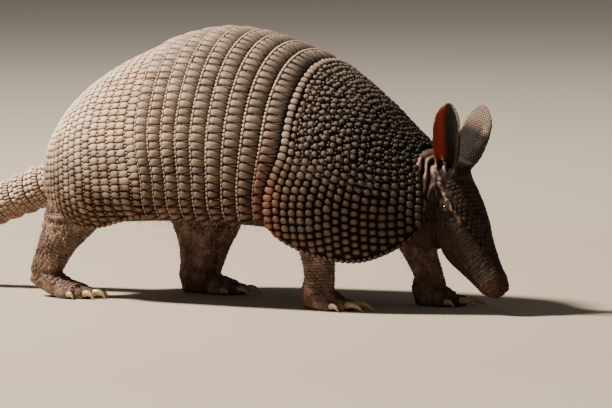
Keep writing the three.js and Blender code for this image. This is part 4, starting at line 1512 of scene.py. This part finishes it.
def make_skin():
    """The whole hide in one piece: welded, folded, and marked with where it is dark or pale."""
    parts = [
        trunk_part(),
        closed_tube(30, 48, lambda u, v: tube_at(NECK, 4 * u, v)),
        closed_tube(70, 64, lambda u, v: head_point(7.7 * u, 360 * v, 0.3)),
        closed_tube(24, 40, lambda u, v: head_turn(tube_at(POLL, 3 * u, v))),
        closed_tube(24, 40, lambda u, v: tube_at(THROAT, 2 * u, v)),
        closed_tube(24, 40, lambda u, v: tube_at(TAIL_ROOT, 2 * u, v)),
        *(ear_part(side) for side in EARS),
    ]
    for name in LEGS:
        parts += limb_parts(name)
    flesh = with_modifiers(
        joined(parts),
        REMESH={"mode": "VOXEL", "voxel_size": SKIN_VOXEL * MM},
        SMOOTH={"factor": 0.5, "iterations": 5},
    )
    # the trunk is mostly out of sight, so its faces are thinned out
    x, y, z = points_of(flesh).T
    hidden = (x < NECK_START) & (z > COVERED)
    belly = (x < NECK_START) & (np.abs(y) < 60) & (z > 47)
    weights = np.where(hidden, 1.0, np.where(belly, 0.5, 0.0))
    share = min(1, SKIN_FACES / len(flesh.polygons))
    flesh = with_modifiers(flesh, weights, DECIMATE={"ratio": share, "vertex_group": "spare"})
    flesh = refine(flesh)
    points, normals = points_of(flesh), rows_of(flesh, "normal")
    x, z = points[:, 0], points[:, 2]
    marks = {key: np.zeros(len(points)) for key in MARKS}
    height = np.zeros(len(points))

    front = x > NECK_START
    on_head, folds, head_marks = sculpt_head(points[front])
    height[front] += on_head * folds
    for key, value in head_marks.items():
        marks[key][front] += value
    on_neck, neck_folds, crests, valleys = sculpt_neck(points[front])
    off_head = 1 - on_head
    height[front] += on_neck * off_head * neck_folds
    # painted highlight on the fold crests, painted shade in their valleys
    marks["pale"][front] += on_neck * off_head * crests
    marks["dark"][front] += on_neck * off_head * valleys
    # painted shade under the throat and on the nape below the shell's edge
    throat = 0.75 * ease((82 - z[front]) / 14) * ease((z[front] - 42) / 4)
    nape = 0.9 * (z[front] > 97) * (x[front] > 181)
    marks["dark"][front] += off_head * np.maximum(throat, nape)
    height[z < LEG_TOP] += sculpt_limbs(points[z < LEG_TOP])
    height += 0.12 * wave(points, 4.5, 11) * (z < 140)
    height += mark_ears(points, normals, marks)
    # the flanks and groins, in the shell's shade
    shade = 0.8 * ease((x + 92) / 12) * ease((78 - x) / 10)
    marks["dark"] += shade * ease((z - 48) / 6) * ease((110 - z) / 5)
    # fold heights also colour the hide: painted highlight on crests, painted shade in valleys
    marks["fold"] += np.clip(height / 1.2, -1, 1)
    points = points + normals * height[:, None]
    for side in (-1, 1):
        points, crease = shape_eye(points, side)
        # painted shade in the crease round the eye
        marks["fold"] += crease
    points, holes = pit_nostrils(points)
    # painted shade in the nostrils
    marks["fold"] += 1.5 * holes
    move_to(flesh, grounded(points))
    for key, values in marks.items():
        mark(flesh, key, np.clip(values, -1, 2))
    replaced = ["trunk", "neck", "head", "lower_jaw", "nose", "ear_right", "ear_left"]
    replaced += [f"{part}_{name}" for part in ("leg", "foot") for name in LEGS]
    flesh.name = "skin"
    flesh.materials.clear()
    return finish_mesh("skin", flesh, SKIN, replaced)


def refine(mesh):
    """Smaller faces round the eyes and nostrils."""
    bm = bmesh.new()
    bm.from_mesh(mesh)
    nose = head_turn(head_axis(np.array([7.5]))[0][0])
    for place, reach in [(eye_frame(side)[0], 10.5) for side in (-1, 1)] + [(nose, 9)]:
        middle = Vector((place + ORIGIN) * MM)
        edges = [e for e in bm.edges if (e.verts[0].co - middle).length < reach * MM]
        bmesh.ops.subdivide_edges(bm, edges=edges, cuts=1, use_grid_fill=True)
    bm.to_mesh(mesh)
    bm.free()
    mesh.update()
    return mesh


def mark_ears(points, normals, marks):
    """Red insides, painted as light glowing through the ear and darkened towards the outer edge
    by painted shade, pale rims and tips, and roots darkened behind by painted shade; it gives the
    heights of the ridges up the cup."""
    ridges = np.zeros(len(points))
    for side in EARS:
        base, lean, opening, across = ear_axes(side)
        local = (points - NECK_PIVOT) @ HEAD_TURN - base
        u = local @ lean / EAR_LENGTH
        half, cup = np.moveaxis(along(EAR_SHAPE, u), -1, 0)
        hollow = lean * (local @ lean)[:, None] + opening * (cup + 2)[:, None]
        facing = np.einsum("nc,nc->n", normals @ HEAD_TURN, unit(hollow - local))
        q = local @ across / half
        depth = local @ opening
        mine = (u > 0.02) & (u < 1.08) & (np.abs(q) < 1.25) & (depth > -3) & (depth < 11)
        mine = mine * ease((u - 0.02) / 0.1)
        inside = mine * ease((facing - 0.05) / 0.3) * ease((1.0 - np.abs(q)) / 0.08)
        ridges += inside * 0.2 * np.sin(q * 11) * ease(u / 0.3) * ease((1 - u) / 0.2)
        behind = -q if side == "right" else q
        # a painted glow of light through the ear, strongest at its hind side
        marks["red_and_glow"] += inside * ease((behind + 0.1) / 0.95)
        # painted shade in the cup, deepest towards the outer edge
        painted_cup_shade = inside * 1.6 * ease((0.85 - behind) / 0.95)
        marks["dark"] = np.where(mine > 0.5, 0, marks["dark"]) + painted_cup_shade
        # painted shade on the lower back of the ear
        marks["dark"] += mine * (1 - inside) * 1.5 * ease((0.74 - u) / 0.22)
        scallops = 0.6 + 0.4 * np.sin(u * 50 + 2 * wave(points, 5, 8))
        rim = mine * 0.7 * scallops * ease((-behind - 0.7) / 0.08)
        marks["pale"] += rim * ease((u - 0.25) / 0.15)
        edged = 0.55 * ease((u - 0.5) / 0.35) + 0.5 * ease((np.abs(q) - 0.85) / 0.1)
        marks["pale"] += mine * (1 - inside) * edged
    return ridges


def make_eyeballs():
    for side, name in ((-1, "right"), (1, "left")):
        centre, out, _, _ = eye_frame(side)
        bm = bmesh.new()
        bmesh.ops.create_uvsphere(bm, u_segments=40, v_segments=24, radius=EYE["radius"])
        for vert in bm.verts:
            swell = 1 + 0.06 * float(bump((1 - vert.co.normalized().z) / 0.25))
            vert.co *= swell
        turn = Vector(out).to_track_quat("Z", "Y").to_matrix()
        bmesh.ops.rotate(bm, verts=bm.verts, matrix=turn)
        bmesh.ops.translate(bm, verts=bm.verts, vec=Vector(centre))
        finish_piece(f"eyeball_{name}", bm, EYE_WET, [f"eye_{name}"])


# ---------------------------------------------------------------- scales on the skin


def on_skin(place, tree, sunk=0.0):
    """The points of the skin nearest to a surface, with a height over them."""

    def surface(u, v, height):
        u, v, height = matched(u, v, height)
        points = place(u, v).reshape(-1, 3)
        made = np.empty_like(points)
        for k, (point, high) in enumerate(zip(points, height.ravel())):
            hit, normal, _, _ = tree.find_nearest(Vector(point))
            made[k] = hit + normal * (high - sunk)
        return grounded(made).reshape(*u.shape, 3)

    return surface


def skin_tree(skin):
    points = points_of(skin.data)
    faces = [p.vertices[:] for p in skin.data.polygons]
    return BVHTree.FromPolygons([Vector(p) for p in points], faces)


def make_leg_scales(tree):
    """Small scales down the legs, over the feet and on the toes."""
    for name in LEGS:
        hind = name.startswith("hind")
        rows, start = LEGS[name], 0.75 if hind else 0.85
        legs = lambda u, v: tube_at(rows, start + (3 - start) * u, v)
        lines = even_rows(20 if hind else 17)
        spots = spots_in_rows(legs, lines, 3.4, closed=True, fill=(0.86, 0.86), vary=0.2)
        scatter(spots, 0.006, 0.006)
        spots[:, HEIGHT] = 2.2 + RANDOM.normal(0, 0.4, len(spots))
        groups = [(SCALE, on_skin(legs, tree), spots, (0, 0, 0.45, 0.45))]
        stand, sole = foot_frame(name), sole_rows(name)
        back = lambda u, v: stand(tube_at(sole, 3 * u, v, SOLE_POWER))
        lines = even_rows(12 if hind else 8, 0.12, 1)
        spots = spots_in_rows(back, lines, 3.6, 0.03, 0.47, fill=(0.88, 0.9))
        spots[:, HEIGHT] = 2.0
        groups.append((SCALE, on_skin(back, tree), spots, (0.5, 0, 0.45, 0.45)))
        for k, toe in enumerate(FEET[name]["toes"]):
            digit = toe_rows(*toe[:5])
            upper = lambda u, v, digit=digit: stand(tube_at(digit, 2 * u, v, TOE_POWER))
            spots = spots_in_rows(upper, even_rows(5, 0.3, 0.98), 3.0, 0.04, 0.46)
            spots[:, HEIGHT] = 1.8
            groups.append((SCALE, on_skin(upper, tree), spots, (0.18 * k, 0.5, 0.15, 0.45)))
        grow_scales(f"scales_{name}", groups, LEG_HORN)


def make_head_scutes(tree):
    """The shield of small horny scutes on the forehead, and finer scales on cheeks and snout."""

    def crown(u, v):
        span = HEAD_SHIELD["end"] - HEAD_SHIELD["start"]
        station = HEAD_SHIELD["start"] + span * np.asarray(u, float)
        return head_point(station, 90 + (2 * v - 1) * shield_half(station))

    surface = lifted(crown)
    low = at_depth(surface, 0.3)
    bm = thick_sheet(40, 30, ground(low), 1.2)
    finish_piece("head_plate", bm, GROOVE, ["head_shield"])
    pitch = lambda u: 4.8 - 1.4 * u
    spots = spots_in_rows(crown, even_rows(19), pitch, 0.02, 0.98, fill=(0.95, 0.96), vary=0.12)
    spots[:, HEIGHT] *= 0.56
    grow_scales("head_scutes", [(TILE, low, spots)], HEAD_HORN)
    grow_scales("cheek_scales", [cheek_scales(tree, k) for k in (0, 1)], CHEEK_HORN)


def cheek_scales(tree, k):
    """Scales from the shield's edge down to the jaw, on the right of the head, or for k 1 the
    left."""

    def cheek(u, v):
        u, v = matched(u, v)
        station = 1.4 + 5.6 * u
        edge = 90 - (shield_half(station) + 8) * np.where(station < HEAD_SHIELD["end"], 1, 0.3)
        angle = edge + (-28 - edge) * v
        return head_point(station, angle if k else 180 - angle)

    spots = spots_in_rows(cheek, even_rows(24), 2.9, fill=(0.86, 0.86), vary=0.14)
    scatter(spots, 0.005, 0.006)
    place = cheek(spots[:, AT_U], spots[:, AT_V])
    centre = eye_frame(1 if k else -1)[0]
    spots = spots[np.linalg.norm(place - centre, axis=1) > 7.5]
    spots[:, HEIGHT] = 0.21
    return SCALE, on_skin(cheek, tree), spots, (0.5 * k, 0, 0.5, 1)


def make_ear_beads(tree):
    """Pebbled scales on the ears' backs, small and darkened by painted shade at the root, pale
    towards the tip.
    """
    groups = []
    for k, side in enumerate(EARS):
        back = lambda u, v, side=side: ear_point(side, 0.12 + 0.86 * u, v)
        spots = spots_in_rows(back, even_rows(24), 1.75, 0.02, 0.98, fill=(0.85, 0.85))
        pale = ease((spots[:, AT_U] - 0.56) / 0.2)
        spots[:, HEIGHT] = 0.9
        spots[:, PALE] = pale
        # painted shade: the beads darken towards the root
        spots[:, TONE] -= 1 - pale
        spots[:, SIZES] *= 0.6 + 0.4 * pale[:, None]
        groups.append((BEAD, on_skin(back, tree, -0.05), spots, (0.5 * k, 0, 0.5, 1)))
    grow_scales("ear_beads", groups, EAR_HORN)


HAIR_HALF = 0.11  # half the thickness of a hair, drawn as coarse as it needs to show


def hairy(place, tree, lie):
    """The skin under a surface, with heights that run along its hairs."""
    skin_at = on_skin(place, tree)

    def surface(u, v, height):
        u, v, height = np.broadcast_arrays(u, v, height)
        middle_u, middle_v = u.mean(-1, keepdims=True), v.mean(-1, keepdims=True)
        root = skin_at(middle_u, middle_v, 0)
        astray = 0.35 * np.sin(37 * root[..., ::-1])
        way = unit(0.7 * (skin_at(middle_u, middle_v, 1) - root) + np.array(lie) + astray)
        side = unit(np.cross(way, [0.3, 1.0, 0.2]))
        droop = np.array([0, 0, -0.03]) * (height**2)[..., None]
        thick = side * (u - middle_u)[..., None] + np.cross(way, side) * (v - middle_v)[..., None]
        return grounded(root + thick + way * height[..., None] + droop)

    return surface


def thinned(spots, share, shortest, longest):
    """Hairs in place of a share of the scales."""
    spots = spots[RANDOM.random(len(spots)) < share]
    spots[:, HALF_U] = spots[:, HALF_V] = HAIR_HALF
    spots[:, HEIGHT] = RANDOM.uniform(shortest, longest, len(spots))
    spots[:, DRIFT] = 0
    return spots


def make_hairs(tree):
    """Sparse hairs behind the legs and along the belly."""
    groups = []
    for k, rows in enumerate(LEGS.values()):
        leg = lambda u, v, rows=rows: tube_at(rows, 0.85 + 1.9 * u, v)
        spots = spots_in_rows(leg, even_rows(14), 4.2, closed=True)
        scatter(spots, 0.02, 0.02)
        middle = along(rows, 0.85 + 1.9 * spots[:, AT_U])[:, 0]
        behind = leg(spots[:, AT_U], spots[:, AT_V])[:, 0] - middle
        spots = thinned(spots, np.where(behind < -4, 0.6, 0.15), 3, 8)
        groups.append((HAIR, hairy(leg, tree, (-0.35, 0, -0.75)), spots, (0.25 * k, 0, 0.24, 0.5)))

    def belly(u, v):
        return body_point(125 - 250 * np.asarray(u, float), 112 + 136 * np.asarray(v, float), True)

    spots = spots_in_rows(belly, even_rows(30), 8)
    scatter(spots, 0.01, 0.015)
    spots = thinned(spots, 0.5, 3, 7)
    groups.append((HAIR, hairy(belly, tree, (-0.8, 0, -0.3)), spots, (0, 0.5, 0.5, 0.5)))
    grow_scales("hairs", groups, HAIR_STRAW)


# ---------------------------------------------------------------- tail and claws


def make_tail_ring(number):
    """A ring that flares to its hind end, with a row of small scales and two of long ones."""
    start, end = number * RING_LENGTH, (number + 1) * RING_LENGTH - RING_GAP
    rows = []
    for k, place in enumerate((start, end)):
        x, y, z, *depths = along(TAIL, place)
        rows.append([k, x, y, z, *[float(d) + k * RING_FLARE for d in depths]])
    ring = tube_surface(rows, 0, 1, TAIL_POWER)

    def surface(u, v, height):
        swell = 1.5 * np.sin(math.pi * np.clip(u, 0, 1))
        tuck = 2.2 * np.clip(1 - np.asarray(u, float) / 0.4, 0, 1) ** 2
        return ring(np.clip(u, 0, 1), v, height - TAIL_HIDE + (swell - tuck))

    name = f"tail_ring_{number + 1}"
    bm = closed_tube(8, 48, ground(at_depth(surface, TAIL_HIDE)))
    finish_piece(f"{name}_hide", bm, SKIN, [name])
    wide = 5.2 - 0.16 * number
    place = ground(surface)
    small = spots_in_rows(place, [(0.2, 0.3)], wide / 2, closed=True, fill=(0.9, 0.9))
    small[:, HEIGHT] = 1.1
    lines = [(0.5, 0.34), (0.82, 0.38)]
    large = spots_in_rows(place, lines, wide, closed=True, fill=(0.94, 0.94))
    large[:, HALF_U] *= -1
    large[:, HEIGHT] = 1.3
    groups = [(TAIL_SCALE, surface, small), (TAIL_SCALE, surface, large)]
    grow_scales(f"{name}_scutes", groups, TAIL_HORN)


def make_tail_tip():
    round_tip = tube_surface(TAIL, TAIL_RINGS * RING_LENGTH, TAIL[-1][0], TAIL_POWER)
    tip = lambda u, v, height: grounded(round_tip(u, v, height))
    bm = closed_tube(60, 32, ground(at_depth(tip, TAIL_HIDE)))
    finish_piece("tail_tip_hide", bm, SKIN, ["tail_tip"])
    pitch = lambda u: 3.6 - 1.4 * u
    spots = spots_in_rows(ground(tip), even_rows(34), pitch, closed=True, fill=(0.95, 0.92))
    spots[:, HEIGHT] = 1.5 - 0.6 * spots[:, AT_U]
    grow_scales("tail_tip_scutes", [(TAIL_SCALE, at_depth(tip, 0.4), spots)], TAIL_HORN)


# Share of the claw's length, and its height, half width and depths up and down in toe radii
CLAW_SHAPE = [
    (0, 1.0, 0.6, 0.72, 0.6),
    (0.35, 1.12, 0.52, 0.62, 0.5),
    (0.7, 0.85, 0.36, 0.42, 0.34),
]


def make_claws():
    for name, foot in FEET.items():
        stand = foot_frame(name)
        for k, (x, y, turn, length, radius, claw) in enumerate(foot["toes"]):
            c, s = math.cos(math.radians(turn)), math.sin(math.radians(turn))
            reach = length + CLAW_GAP
            rows = [[claw * share, *(radius * q for q in sizes)] for share, *sizes in CLAW_SHAPE]
            rows.append([claw, 0.6, 0.25, 0.25, 0.25])
            rows = [
                [step, x + (reach + a) * c, y + (reach + a) * s, *rest]
                for step, (a, *rest) in enumerate(rows)
            ]
            curved = lambda u, v: grounded(stand(tube_at(rows, 3 * u, v, CLAW_POWER)))
            horn = closed_tube(18, 18, curved)
            finish_piece(f"horn_{name}_{k + 1}", horn, CLAW, [f"claw_{name}_{k + 1}"])


# ---------------------------------------------------------------- the whole

add_camera()
add_studio()
add_floor()
make_scapular_shield()
make_pelvic_shield()
make_bands()
for number in range(TAIL_RINGS):
    make_tail_ring(number)
make_tail_tip()
make_claws()
skin = make_skin()
make_eyeballs()
tree = skin_tree(skin)
make_leg_scales(tree)
make_head_scutes(tree)
make_ear_beads(tree)
make_hairs(tree)
